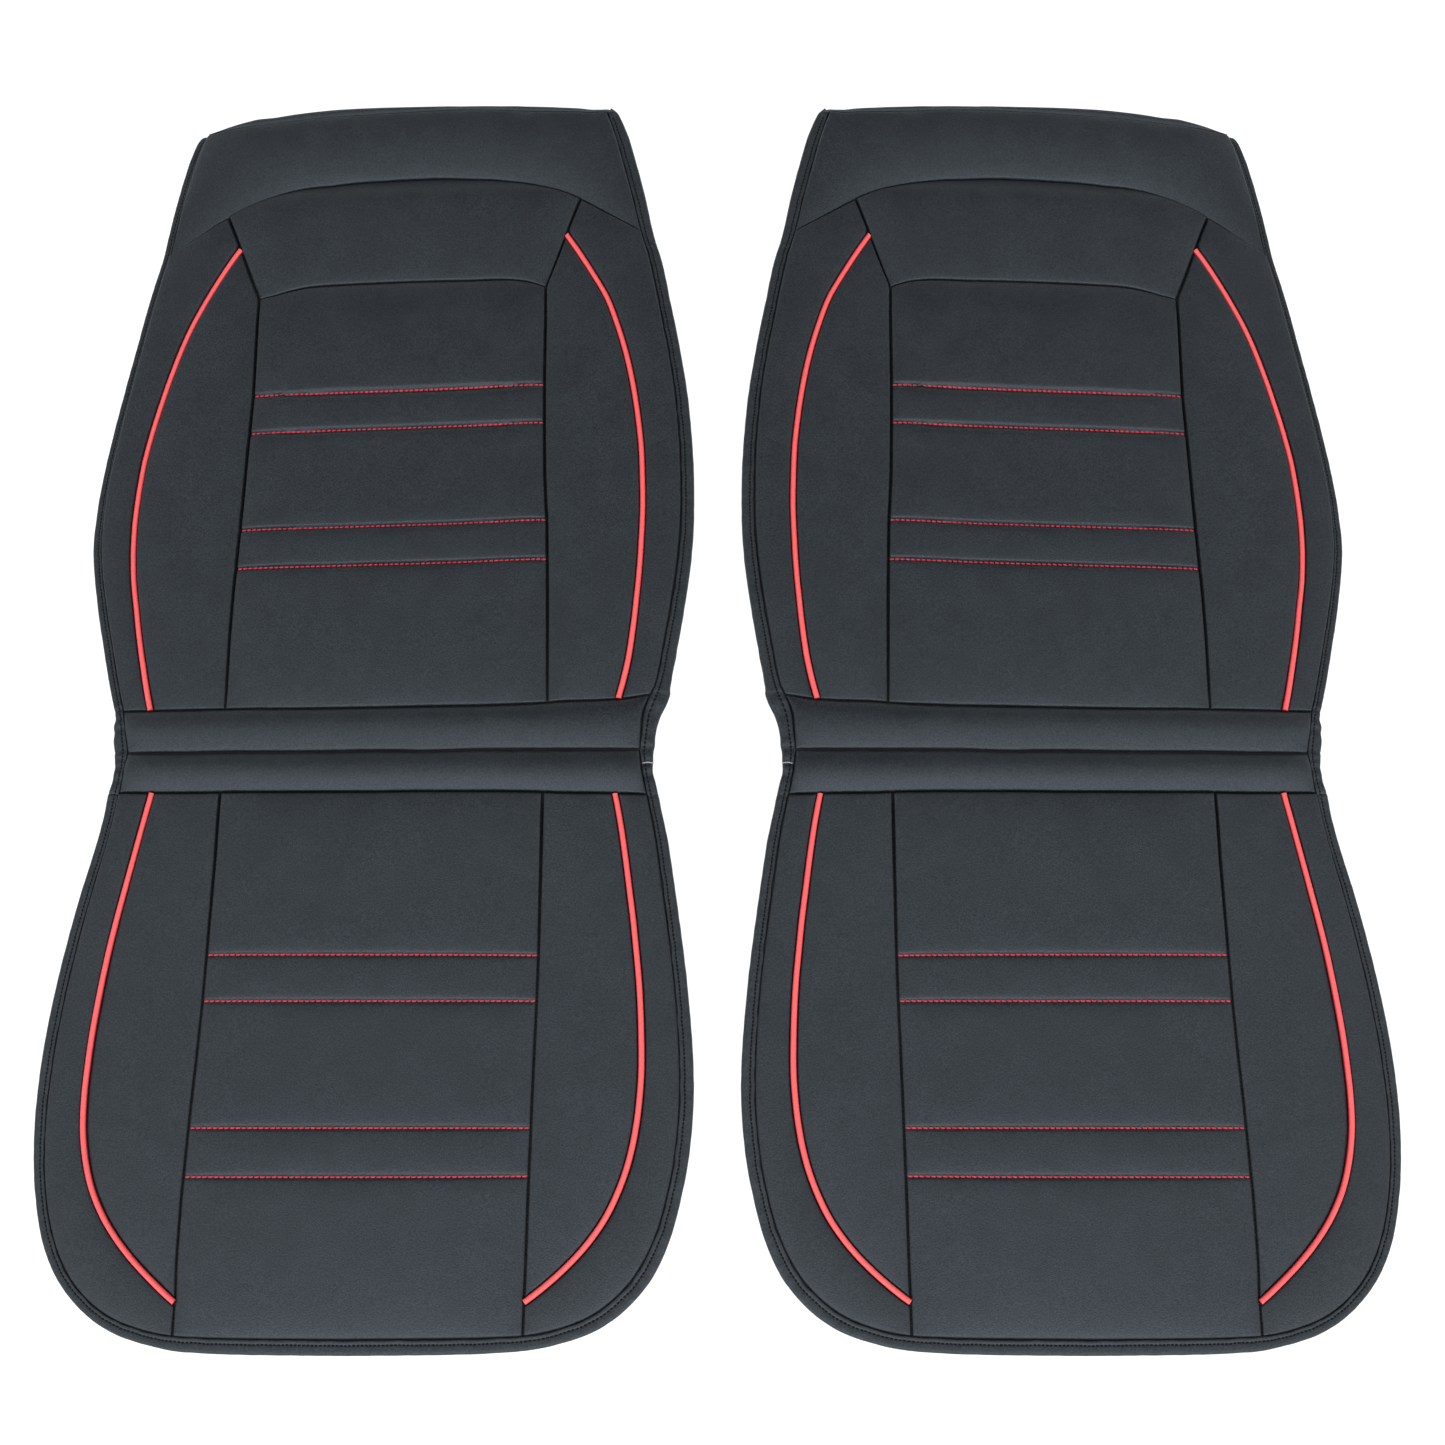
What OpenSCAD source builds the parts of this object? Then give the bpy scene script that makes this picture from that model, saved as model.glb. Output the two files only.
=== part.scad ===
// Matching pair of padded slip-on front seat covers, laid flat with their faces up.
// Each cover is a backrest half and a seat half that fold against each other at
// the waist crease. Patterns are drawn about the cover's own centre line: x runs
// across it and y runs from the crease up the backrest, in millimetres.
// Left and right halves of a pattern are alike. lay() then gives the backrest half
// the slight lean of a soft cover that has been laid down.

/* [Pair] */
// Gap between the two covers where they are widest
cover_gap = 41; // [20:1:200]

/* [Backrest outline] */
// Width of the cover at the crease
waist_w = 454; // [430:1:480]
// Width of the backrest half at its widest
back_w = 530; // [510:1:550]
// Height of the widest place above the crease
back_wide_y = 212; // [170:1:250]
// Width between the two top corners
back_top_w = 402; // [370:1:420]
// Height of the top corners above the crease
back_corner_y = 609; // [590:1:640]
// Rise of the top edge between its corners
back_top_rise = 15; // [6:1:24]
// Flatness of the top edge, 2 for an even arch and more for a flatter middle
back_top_flatness = 3; // [2:0.1:4]
// Radius of the rounding at the top corners
back_corner_r = 14; // [8:1:20]
// Outward slope of the sides where they leave the crease
back_flare = 0.24; // [0.1:0.01:0.35]
// Inward slope of the sides at the top corners
back_taper = 0.22; // [0.1:0.01:0.35]

/* [Seat outline] */
// Width of the seat half at its widest
seat_w = 529; // [510:1:550]
// Distance of the widest place from the crease
seat_wide_y = 284; // [240:1:310]
// Length of the seat half from the crease to its front edge
seat_l = 483; // [460:1:520]
// Width of the straight stretch of the front edge
front_flat_w = 250; // [230:1:272]
// Fullness of the front corners, higher for squarer ones
front_fullness = 0.65; // [0.5:0.01:0.75]
// Outward slope of the sides where they leave the crease
seat_flare = 0.14; // [0.05:0.01:0.25]

/* [Seams] */
// Depth of the waist strip above the crease
upper_strip_h = 38; // [30:1:44]
// Depth of the waist strip below the crease
lower_strip_h = 37; // [30:1:44]
// Width of the backrest insert at the waist strip
back_insert_low_w = 278; // [260:1:290]
// Width of the backrest insert at its top corners
back_insert_top_w = 267; // [250:1:280]
// Height of the insert's top corners above the crease
back_insert_y = 439; // [425:1:450]
// Rise of the shoulder seam between the insert's top corners
shoulder_rise = 11; // [5:1:16]
// Width of the shoulder panel where it meets the yoke
shoulder_w = 328; // [310:1:340]
// Height of the shoulder panel's top corners above the crease
shoulder_y = 521; // [510:1:530]
// Height of the yoke seam on the centre line
yoke_mid_y = 556; // [545:1:565]
// Height of the yoke seam at the sides
yoke_side_y = 489; // [480:1:500]
// Width of the seat insert
seat_insert_w = 273; // [255:1:285]
// Width of the open seam between two neighbouring panels
seam_gap = 0.8; // [0.6:0.1:1.4]
// Width of the gap between the two halves at the crease
crease_gap = 0.8; // [0.6:0.1:1.4]

/* [Piping] */
// Radius of the piping bead
pipe_r = 2.4; // [1.8:0.1:2.6]
// Gap between the bead and the panels beside it
pipe_gap = 0.3; // [0.3:0.05:0.6]
// Distance that each end of the bead stays back from the seam it runs to
pipe_setback = 3.2; // [3:0.1:4.5]
// Width of a backrest wing, outside the bead, at the waist strip
back_wing_low_w = 24; // [20:0.5:30]
// Width of a backrest wing where the beads are widest apart
back_wing_w = 39.5; // [34:0.5:45]
// Height of that place above the crease
back_pipe_wide_y = 215; // [190:1:240]
// Height of the beads' top ends above the crease
back_pipe_end_y = 488; // [480:1:500]
// Width of a seat wing, outside the bead, at the waist strip
seat_wing_top_w = 30; // [25:0.5:35]
// Width of a seat wing where the beads are widest apart
seat_wing_w = 38.5; // [34:0.5:45]
// Distance of that place from the crease
seat_pipe_wide_y = 270; // [250:1:290]
// Distance of the beads' front ends from the crease
seat_pipe_end_y = 446; // [436:1:452]

/* [Edge binding] */
// Width of the tape on the face
binding_w = 8; // [7:0.5:10]
// Thickness of the tape
tape_t = 1.2; // [0.8:0.1:1.4]

/* [Layers] */
// Thickness of the backing, hood cloth and hem under the lining
under_t = 1.2; // [1:0.1:2]
// Thickness of the elastic straps
strap_t = 1; // [0.6:0.1:1]
// Thickness of the lining cloth
lining_t = 1; // [0.8:0.1:1.6]
// Thickness of the foam sheet
foam_t = 4; // [3:0.5:6]
// Thickness of the face panels at their seams
leather_t = 1; // [0.8:0.1:1.4]
// Height that the padding pushes a panel above its seams
puff_h = 2.6; // [1:0.1:3]

/* [Stitched rows] */
// Height of the lower pair of rows on the backrest above the crease
back_low_rows_y = 188; // [150:1:210]
// Height of the upper pair of rows on the backrest above the crease
back_high_rows_y = 318; // [290:1:350]
// Distance of the rear pair of rows on the seat from the crease
seat_rear_rows_y = 194; // [150:1:220]
// Distance of the front pair of rows on the seat from the crease
seat_front_rows_y = 332; // [300:1:360]
// Distance between the two rows of a pair
row_pitch = 37; // [28:1:46]
// Width of the level channel that a row lies in
channel_w = 2.4; // [2.2:0.1:4]
// Width of the row's thread
thread_w = 1.6; // [1:0.1:2]
// Height of the row's thread
thread_h = 0.6; // [0.4:0.1:1]
// Distance that a row's thread ends short of the insert's seams
thread_margin = 2; // [1:0.5:6]

/* [Hood] */
// Depth of the hood from the top corners down to its mouth
hood_h = 150; // [110:1:190]
// Distance that the rolled band stands past the yoke on the centre line
hood_roll = 10; // [6:1:16]
// Width of the elastic hem round the hood's mouth
hem_w = 12; // [8:1:20]

/* [Straps and backing] */
// Width of the elastic straps
strap_w = 25; // [20:1:40]
// Height of the backrest strap above the crease
back_strap_y = 250; // [120:1:360]
// Distance of the seat strap from the crease
seat_strap_y = 38; // [28:1:42]
// Distance that the ends of a strap lie in from the cover's edge
strap_inset = 2; // [1:0.5:6]
// Margin between the anti-slip backing and the cover's sides
backing_margin = 30; // [20:1:60]
// Gap between the anti-slip backing and the seat strap
backing_gap = 12; // [6:1:30]

/* [Lay of the backrest half] */
// Angle by which the centre line leans outboard
lay_lean = 0.8; // [0:0.1:2]
// Angle by which the upper waist seam is turned
lay_tilt_low = 1.4; // [0:0.1:2]
// Angle by which the top edge is turned
lay_tilt_top = 3.9; // [0:0.1:5]
// Distance by which the two sides are pushed inboard
lay_side_shift = 4; // [0:0.5:6]

/* [Hidden] */
SIDES = ["left_", "right_"];
PIECES = [
    "seat_waist_strip", "seat_insert", "seat_bolster_inboard", "seat_bolster_outboard",
    "seat_wing_inboard", "seat_wing_outboard", "seat_piping", "seat_binding",
    "seat_foam", "seat_lining", "seat_stitching", "seat_strap", "seat_backing",
    "back_waist_strip", "back_insert", "back_bolster_inboard", "back_bolster_outboard",
    "back_wing_inboard", "back_wing_outboard", "back_shoulder", "back_yoke",
    "back_piping", "back_binding", "back_foam", "back_lining", "back_stitching",
    "back_strap", "hood_rear_panel", "hood_rolled_band", "hood_hem",
];

leather = "#3c4145";
wing_leather = "#343638";
tape = "#26282a";
cord_red = "#f0565a";
thread_red = "#c83c48";
cloth = "#2b2c2e";
rubber = "#1d1e1f";
foam = "#8d8f90";

// Levels of the layers
z_lining = under_t;
z_foam = z_lining + lining_t;
z_face = z_foam + foam_t;
z_rim = z_face + leather_t;

// Reach of each panel's edge back from its seam line
TUBE_SIDES = 8;
half_seam = seam_gap / 2;
bound_edge = binding_w + half_seam;
pipe_corner_r = pipe_r / cos(180 / TUBE_SIDES);
pipe_edge = pipe_corner_r + pipe_gap;
half_crease = crease_gap / 2;
// Clearance between the foam's edge and the tape folded round it
foam_slack = 0.2;
// Distance that a cutting outline runs past an open edge
past_edge = 6;
// Sine of the turn below which two edges count as one straight line
STRAIGHT = 0.03;

// Slopes and reaches that give the curved seams their form, as shares of their spans
back_pipe_lean = 0.25;
back_pipe_bow = 0.31;
back_pipe_run = [0.8, 0.28];
seat_pipe_lean = 0.17;
seat_pipe_bow = 0.43;
seat_pipe_run = [0.7, 0.26];
yoke_run = 0.6;
shoulder_flatness = 5;
tilt_growth = 1.5;
side_push_fade = 12;

// Stations across a panel with the share of the full crown at each of them
NARROW = [0, 0.25, 0.75, 1];
NARROW_RISE = [0, 1, 1, 0];
WIDE = [0, 0.12, 0.5, 0.88, 1];
WIDE_RISE = [0, 0.8, 1, 0.8, 0];
ARCHED = [0, 0.06, 0.15, 0.3, 0.5, 0.7, 0.85, 0.94, 1];
ARCHED_RISE = [0, 0.5, 0.9, 1, 1, 1, 0.9, 0.5, 0];

// Number of straight pieces in each stretch of a curve
STRIP_STEPS = 3;
STRIP_LONG_STEPS = 10;
FLANK_STEPS = 3;
CORNER_STEPS = 7;
FRONT_STEPS = 2;
PIPE_LOW_STEPS = 4;
PIPE_HIGH_STEPS = 6;
PIPE_STEPS = PIPE_LOW_STEPS + PIPE_HIGH_STEPS;
YOKE_SIDE_STEPS = 3;
HOOD_SIDE_STEPS = 5;
TOP_STEPS = 10;

// ---- Curves ----

function lerp(a, b, t) = a + (b - a) * t;
function even(n) = [for (i = [0:n]) i / n];
function flipped(path) = [for (i = [len(path) - 1:-1:0]) path[i]];
function mirrored(path) = [for (p = path) [-p.x, p.y]];
function tail(path) = [for (i = [1:1:len(path) - 1]) path[i]];
function body_of(path) = [for (i = [0:1:len(path) - 2]) path[i]];
function part_of(span, shares) = [span.x * shares.x, span.y * shares.y];

// Cubic curve from a to d with handles b and c
function curve(a, b, c, d, n = 24) =
    [for (t = even(n)) let (s = 1 - t)
        s * s * s * a + 3 * s * s * t * b + 3 * s * t * t * c + t * t * t * d];

// Length of a path up to each of its points
function reach(path, i = 0, sums = [0]) =
    i + 1 >= len(path) ? sums
    : reach(path, i + 1, concat(sums, [sums[i] + norm(path[i + 1] - path[i])]));

// Point at a share s of a path's length
function spot(path, s) =
    let (
        sums = reach(path),
        goal = s * sums[len(sums) - 1],
        i = min(len(path) - 2, len([for (r = sums) if (r <= goal) r]) - 1)
    )
    lerp(path[i], path[i + 1], (goal - sums[i]) / (sums[i + 1] - sums[i]));

// Share of a path's length where coordinate k first takes the value v
function share_at(path, k, v) =
    let (
        sums = reach(path),
        hits = [for (i = [0:len(path) - 2])
            if (path[i][k] != path[i + 1][k]
                && (path[i][k] - v) * (path[i + 1][k] - v) <= 0)
            lerp(sums[i], sums[i + 1], (v - path[i][k]) / (path[i + 1][k] - path[i][k]))]
    )
    hits[0] / sums[len(sums) - 1];

// Points of a path between the shares a and b, at the given stations
function stretch(path, a, b, stations) = [for (t = stations) spot(path, lerp(a, b, t))];

// Half width of a cover at height y on its flank
function half_w(flank, y) = spot(flank, share_at(flank, 1, y)).x;

// Corner of two edges after each has moved to its left by its own distance
function mitre(before, at, after, d_in, d_out) =
    let (
        a = (at - before) / norm(at - before),
        b = (after - at) / norm(after - at),
        p = at + d_in * [-a.y, a.x],
        q = at + d_out * [-b.y, b.x],
        turn = a.x * b.y - a.y * b.x
    )
    abs(turn) < STRAIGHT ? (p + q) / 2
    : p + a * ((q - p).x * b.y - (q - p).y * b.x) / turn;

// Anticlockwise loop drawn in, with one distance for each of its edges
function drawn_in(loop, dists) =
    let (n = len(loop))
    [for (i = [0:n - 1])
        mitre(loop[(i + n - 1) % n], loop[i], loop[(i + 1) % n], dists[(i + n - 1) % n], dists[i])];

// The same distance for every edge but the last, which lies on the crease
function edge_dists(loop, side_d, crease_d) =
    [for (i = [0:len(loop) - 1]) i == len(loop) - 1 ? crease_d : side_d];

// ---- Lay of the backrest half ----

function tilt_at(y) =
    y < upper_strip_h ? lay_tilt_low * y / upper_strip_h
    : lerp(lay_tilt_low, lay_tilt_top, pow((y - upper_strip_h) / back_corner_y, tilt_growth));
// The push fades away towards the crease, and fast towards the centre line
function shift_at(p) =
    let (side_x = half_w(back_flank, min(max(p.y, 0), back_corner_y)))
    lay_side_shift * min(1, p.y / upper_strip_h) * pow(abs(p.x) / side_x, side_push_fade);
function lay(p) = [p.x - p.y * tan(lay_lean) + shift_at(p), p.y + p.x * tan(tilt_at(p.y))];

// ---- Outlines, right half, from the crease outwards ----

back_wide = [back_w / 2, back_wide_y];
back_corner = [back_top_w / 2, back_corner_y];
upper_rise = back_corner_y - back_wide_y;
back_flank = concat(
    curve([waist_w / 2, 0], [waist_w / 2 + back_flare * back_wide_y / 3, back_wide_y / 3],
        [back_w / 2, back_wide_y * 2 / 3], back_wide),
    tail(curve(back_wide, back_wide + [0, upper_rise / 3],
        back_corner + [back_taper * upper_rise / 3, -upper_rise / 3], back_corner)));

seat_wide = [seat_w / 2, -seat_wide_y];
front_end = [front_flat_w / 2, -seat_l];
seat_flank = curve([waist_w / 2, 0],
    [waist_w / 2 + seat_flare * seat_wide_y / 3, -seat_wide_y / 3],
    [seat_w / 2, -seat_wide_y * 2 / 3], seat_wide);
seat_corner = concat(
    curve(seat_wide, seat_wide - [0, front_fullness * (seat_l - seat_wide_y)],
        front_end + [front_fullness * (seat_w - front_flat_w) / 2, 0], front_end),
    [[0, -seat_l]]);

// Top edge of the yoke, and the edge of the hood that stands past it
function top_y(x, roll) =
    back_corner_y + (back_top_rise + roll) * (1 - pow(abs(2 * x / back_top_w), back_top_flatness));
function top_edge(x0, x1, roll, n = TOP_STEPS) =
    [for (t = even(n)) let (x = lerp(x0, x1, t)) [x, top_y(x, roll)]];

// Right flank above height y, ending in the rounded corner and the top edge
function rounded_top(flank_points, roll) =
    let (
        x_in = back_corner.x - back_corner_r,
        low = spot(back_flank, 1 - back_corner_r / reach(back_flank)[len(back_flank) - 1]),
        side = [x_in, top_y(x_in, roll)],
        knee = low / 4 + back_corner / 2 + side / 4
    )
    concat(flank_points, [low, knee], body_of(top_edge(x_in, 0, roll, TOP_STEPS / 2)));

back_seam_s = share_at(back_flank, 1, upper_strip_h);
back_yoke_s = share_at(back_flank, 1, yoke_side_y);
seat_seam_s = share_at(seat_flank, 1, -lower_strip_h);
seat_insert_s = share_at(seat_corner, 0, seat_insert_w / 2);

// Flank points beside the strip, beside the wing and beside the yoke
back_strip_edge = stretch(back_flank, 0, back_seam_s, even(STRIP_STEPS));
back_wing_edge = stretch(back_flank, back_seam_s, back_yoke_s, even(PIPE_STEPS + 1));
back_yoke_edge = stretch(back_flank, back_yoke_s, 1, even(YOKE_SIDE_STEPS));
seat_strip_edge = stretch(seat_flank, 0, seat_seam_s, even(STRIP_STEPS));
seat_wing_edge = concat(
    stretch(seat_flank, seat_seam_s, 1, even(FLANK_STEPS)),
    tail(stretch(seat_corner, 0, seat_insert_s, even(CORNER_STEPS))));
seat_front_edge = stretch(seat_corner, seat_insert_s, 1, even(FRONT_STEPS));

// Loops of the two halves
back_right = rounded_top(
    concat(back_strip_edge, tail(back_wing_edge), body_of(tail(back_yoke_edge))), 0);
back_loop = concat(back_right, [[0, top_y(0, 0)]], flipped(mirrored(back_right)));
back_sharp_right = concat(back_strip_edge, tail(back_wing_edge), tail(back_yoke_edge));
seat_right = concat(seat_strip_edge, tail(seat_wing_edge), body_of(tail(seat_front_edge)));
seat_loop = concat(mirrored(seat_right), [[0, -seat_l]], flipped(seat_right));

// ---- Seams, right half ----

back_low_x = back_insert_low_w / 2;
back_top_x = back_insert_top_w / 2;
shoulder_end = [shoulder_w / 2, shoulder_y];
insert_corner = [back_top_x, back_insert_y];
insert_foot = [back_low_x, upper_strip_h];

// Place on the slanted shoulder seam at height y
function on_slant(y) =
    lerp(insert_corner, shoulder_end, (y - back_insert_y) / (shoulder_y - back_insert_y));

back_pipe_end = on_slant(back_pipe_end_y);
back_pipe_wide = [back_w / 2 - back_wing_w, back_pipe_wide_y];
back_pipe_foot = [waist_w / 2 - back_wing_low_w, upper_strip_h];
back_pipe_span = back_pipe_end - back_pipe_wide;
back_pipe = concat(
    stretch(curve(back_pipe_foot, back_pipe_foot + [back_pipe_lean, 1] * (back_pipe_wide_y / 4),
        back_pipe_wide - [0, back_pipe_wide_y / 3], back_pipe_wide),
        0, 1, even(PIPE_LOW_STEPS)),
    tail(stretch(curve(back_pipe_wide, back_pipe_wide + [0, back_pipe_bow * back_pipe_span.y],
        back_pipe_end - part_of(back_pipe_span, back_pipe_run), back_pipe_end),
        0, 1, even(PIPE_HIGH_STEPS))));

seat_pipe_end = [seat_insert_w / 2, -seat_pipe_end_y];
seat_pipe_wide = [seat_w / 2 - seat_wing_w, -seat_pipe_wide_y];
seat_pipe_foot = [waist_w / 2 - seat_wing_top_w, -lower_strip_h];
seat_pipe_span = seat_pipe_end - seat_pipe_wide;
seat_pipe = concat(
    stretch(curve(seat_pipe_foot, seat_pipe_foot + [seat_pipe_lean, -1] * (seat_pipe_wide_y / 4),
        seat_pipe_wide + [0, seat_pipe_wide_y / 4], seat_pipe_wide),
        0, 1, even(PIPE_LOW_STEPS)),
    tail(stretch(curve(seat_pipe_wide, seat_pipe_wide + [0, seat_pipe_bow * seat_pipe_span.y],
        seat_pipe_end - part_of(seat_pipe_span, seat_pipe_run), seat_pipe_end),
        0, 1, even(PIPE_HIGH_STEPS))));

// Shoulder seam and the yoke seam above it, from left to right
shoulder_seam = [for (t = ARCHED) let (u = 2 * t - 1)
    [u * back_top_x, back_insert_y + shoulder_rise * (1 - pow(abs(u), shoulder_flatness))]];
yoke_side = [half_w(back_flank, yoke_side_y), yoke_side_y];
yoke_half = curve([0, yoke_mid_y], [shoulder_w / 4, yoke_mid_y],
    shoulder_end + yoke_run * (shoulder_end - yoke_side), shoulder_end);
yoke_arch = stretch(concat(flipped(mirrored(yoke_half)), tail(yoke_half)), 0, 1, ARCHED);
yoke_seam = concat([[-yoke_side.x, yoke_side.y]], yoke_arch, [yoke_side]);

// ---- Stitched rows ----

back_rows = [for (y = [back_low_rows_y, back_high_rows_y]) for (s = [-1, 1]) y + s * row_pitch / 2];
seat_rows = [for (y = [seat_front_rows_y, seat_rear_rows_y]) for (s = [-1, 1]) -y + s * row_pitch / 2];

// Heights of an insert's stations: each band between two rows has four of them
BAND = [0, 0.2, 0.8, 1];
BAND_RISE = [0, 1, 1, 0];
function insert_heights(low, rows, high) =
    [for (k = [0:len(rows)]) for (t = BAND)
        lerp(k == 0 ? low : rows[k - 1] + channel_w / 2,
            k == len(rows) ? high : rows[k] - channel_w / 2, t)];
function insert_rise(rows) = [for (k = [0:len(rows)]) for (r = BAND_RISE) r];
function shares_of(heights) =
    [for (h = heights) (h - heights[0]) / (heights[len(heights) - 1] - heights[0])];

// ---- Panels ----

// A closed pillow between four border curves, all named as if south were down.
// The loop runs anticlockwise: south, east, north, west. Each side has one gap,
// or one for each of its edges. North or south may shrink to a point. Rows run
// straight from west to east, unless arch_share says how much of the arch of the
// north side, and how little of the south side's, each row takes.
function side_gaps(side, gap) =
    [for (i = [0:1:len(side) - 2]) is_list(gap) ? gap[i] : gap];

module panel(south, east, north, west, gaps, across, rise_across, up, rise_up,
        arch_share = undef, hand = 1, laid = false) {
    nu = len(across) - 1;
    nv = len(up) - 1;
    sides = [south, east, north, west];
    loop = [for (s = sides) each body_of(s)];
    dists = [for (k = [0:3]) each side_gaps(sides[k], gaps[k])];
    edge = drawn_in(loop, dists);
    starts = [0, len(south) - 1, len(south) + len(east) - 2,
        len(south) + len(east) + len(north) - 3];
    function border(k, i) = edge[(starts[k] + i) % len(edge)];
    function s_at(i) = border(0, len(south) > 1 ? i : 0);
    function e_at(j) = border(1, j);
    function n_at(i) = border(2, len(north) > 1 ? nu - i : 0);
    function w_at(j) = border(3, nv - j);
    function arch(i, j) =
        is_undef(arch_share) ? [0, 0]
        : (1 - arch_share[j]) * (s_at(i) - lerp(s_at(0), s_at(nu), across[i]))
            + arch_share[j] * (n_at(i) - lerp(n_at(0), n_at(nu), across[i]));
    function grid(i, j) = lerp(w_at(j), e_at(j), across[i]) + arch(i, j);
    function placed(p) = laid ? lay([hand * p.x, p.y]) : [hand * p.x, p.y];
    tops = [for (j = [0:nv]) for (i = [0:nu])
        let (p = placed(grid(i, j))) [p.x, p.y, z_rim + puff_h * rise_across[i] * rise_up[j]]];
    floors = [for (j = [0:nv]) for (i = [0:nu])
        let (p = placed(grid(i, j))) [p.x, p.y, z_face]];
    count = (nu + 1) * (nv + 1);
    function id(i, j) =
        (j == 0 && len(south) == 1) || (j == nv && len(north) == 1) ? (nu + 1) * j
        : (nu + 1) * j + i;
    rim = concat(
        [for (i = [0:nu - 1]) id(i, 0)], [for (j = [0:nv - 1]) id(nu, j)],
        [for (i = [nu:-1:1]) id(i, nv)], [for (j = [nv:-1:1]) id(0, j)]);
    top_faces = [for (j = [0:nv - 1]) for (i = [0:nu - 1])
        each [[id(i, j), id(i, j + 1), id(i + 1, j + 1)], [id(i, j), id(i + 1, j + 1), id(i + 1, j)]]];
    floor_faces = [for (f = top_faces) [f[2] + count, f[1] + count, f[0] + count]];
    wall_faces = [for (k = [0:len(rim) - 1])
        let (a = rim[k], b = rim[(k + 1) % len(rim)])
        each (a == b ? [] : [[a, b, b + count], [a, b + count, a + count]])];
    kept = [for (f = concat(top_faces, floor_faces, wall_faces))
        if (f[0] != f[1] && f[1] != f[2] && f[2] != f[0])
        hand > 0 ? f : [f[2], f[1], f[0]]];
    polyhedron(points = concat(tops, floors), faces = kept);
}

function ends_low(n) = [for (i = [0:n]) i == 0 || i == n ? 0 : 1];

module seat_strip_shape() {
    n = STRIP_LONG_STEPS;
    edge = flipped(seat_strip_edge);
    panel(
        [for (t = even(n)) lerp([-edge[0].x, edge[0].y], edge[0], t)], edge,
        [for (t = even(n)) lerp([waist_w / 2, 0], [-waist_w / 2, 0], t)],
        mirrored(seat_strip_edge),
        [half_seam, bound_edge, half_crease, bound_edge],
        even(n), ends_low(n), even(STRIP_STEPS), ends_low(STRIP_STEPS));
}

module back_strip_shape() {
    n = STRIP_LONG_STEPS;
    top = back_strip_edge[STRIP_STEPS];
    panel(
        [for (t = even(n)) lerp([-waist_w / 2, 0], [waist_w / 2, 0], t)], back_strip_edge,
        [for (t = even(n)) lerp(top, [-top.x, top.y], t)],
        flipped(mirrored(back_strip_edge)),
        [half_crease, bound_edge, half_seam, bound_edge],
        even(n), ends_low(n), even(STRIP_STEPS), ends_low(STRIP_STEPS), laid = true);
}

module seat_insert_shape() {
    x = seat_insert_w / 2;
    heights = insert_heights(-seat_l, seat_rows, -lower_strip_h);
    up = shares_of(heights);
    side = [for (h = heights) [x, h]];
    panel(
        [for (t = WIDE) [lerp(-x, x, t), -seat_l]], side,
        [for (t = WIDE) [lerp(x, -x, t), -lower_strip_h]], flipped(mirrored(side)),
        [bound_edge, half_seam, half_seam, half_seam],
        WIDE, WIDE_RISE, up, insert_rise(seat_rows));
}

module back_insert_shape() {
    heights = insert_heights(upper_strip_h, back_rows, back_insert_y);
    up = shares_of(heights);
    n = len(up) - 1;
    last = n - len(BAND) + 1;
    arch_share = [for (s = up) max(0, (s - up[last]) / (1 - up[last]))];
    side = [for (s = up) lerp(insert_foot, insert_corner, s)];
    panel(
        [for (t = ARCHED) [lerp(-back_low_x, back_low_x, t), upper_strip_h]], side,
        flipped(shoulder_seam), flipped(mirrored(side)),
        [half_seam, half_seam, half_seam, half_seam],
        ARCHED, ARCHED_RISE, up, insert_rise(back_rows), arch_share, laid = true);
}

// hand is 1 for the inboard side of a cover and -1 for the outboard side
module seat_bolster_shape(hand) {
    n = PIPE_STEPS;
    top = [seat_insert_w / 2, -lower_strip_h];
    panel(
        [seat_pipe_end], flipped(seat_pipe),
        [for (t = NARROW) lerp(seat_pipe_foot, top, t)],
        [for (t = even(n)) lerp(top, seat_pipe_end, t)],
        [0, pipe_edge, half_seam, half_seam],
        NARROW, NARROW_RISE, even(n), ends_low(n), hand = hand);
}

module back_bolster_shape(hand) {
    n = PIPE_STEPS;
    west = concat([back_pipe_end], [for (t = even(n - 1)) lerp(insert_corner, insert_foot, t)]);
    panel(
        [for (t = NARROW) lerp(insert_foot, back_pipe_foot, t)], back_pipe,
        [back_pipe_end], west,
        [half_seam, pipe_edge, 0, half_seam],
        NARROW, NARROW_RISE, even(n), ends_low(n), hand = hand, laid = true);
}

module seat_wing_shape(hand) {
    n = PIPE_STEPS;
    front = seat_wing_edge[len(seat_wing_edge) - 1];
    panel(
        [for (t = NARROW) lerp(seat_pipe_end, front, t)], flipped(seat_wing_edge),
        [for (t = NARROW) lerp(seat_wing_edge[0], seat_pipe_foot, t)], seat_pipe,
        [half_seam, bound_edge, half_seam, pipe_edge],
        NARROW, NARROW_RISE, even(n), ends_low(n), hand = hand);
}

module back_wing_shape(hand) {
    n = PIPE_STEPS + 1;
    west_gaps = [for (i = [0:n - 1]) i == 0 ? half_seam : pipe_edge];
    panel(
        [for (t = NARROW) lerp(back_pipe_foot, back_wing_edge[0], t)], back_wing_edge,
        [for (t = NARROW) lerp(yoke_side, shoulder_end, t)],
        concat([shoulder_end], flipped(back_pipe)),
        [half_seam, bound_edge, half_seam, west_gaps],
        NARROW, NARROW_RISE, even(n), ends_low(n), hand = hand, laid = true);
}

module back_shoulder_shape() {
    up = NARROW;
    east = [for (t = up) lerp(insert_corner, shoulder_end, t)];
    panel(
        shoulder_seam, east, flipped(yoke_arch), flipped(mirrored(east)),
        [half_seam, half_seam, half_seam, half_seam],
        ARCHED, ARCHED_RISE, up, NARROW_RISE, up, laid = true);
}

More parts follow.
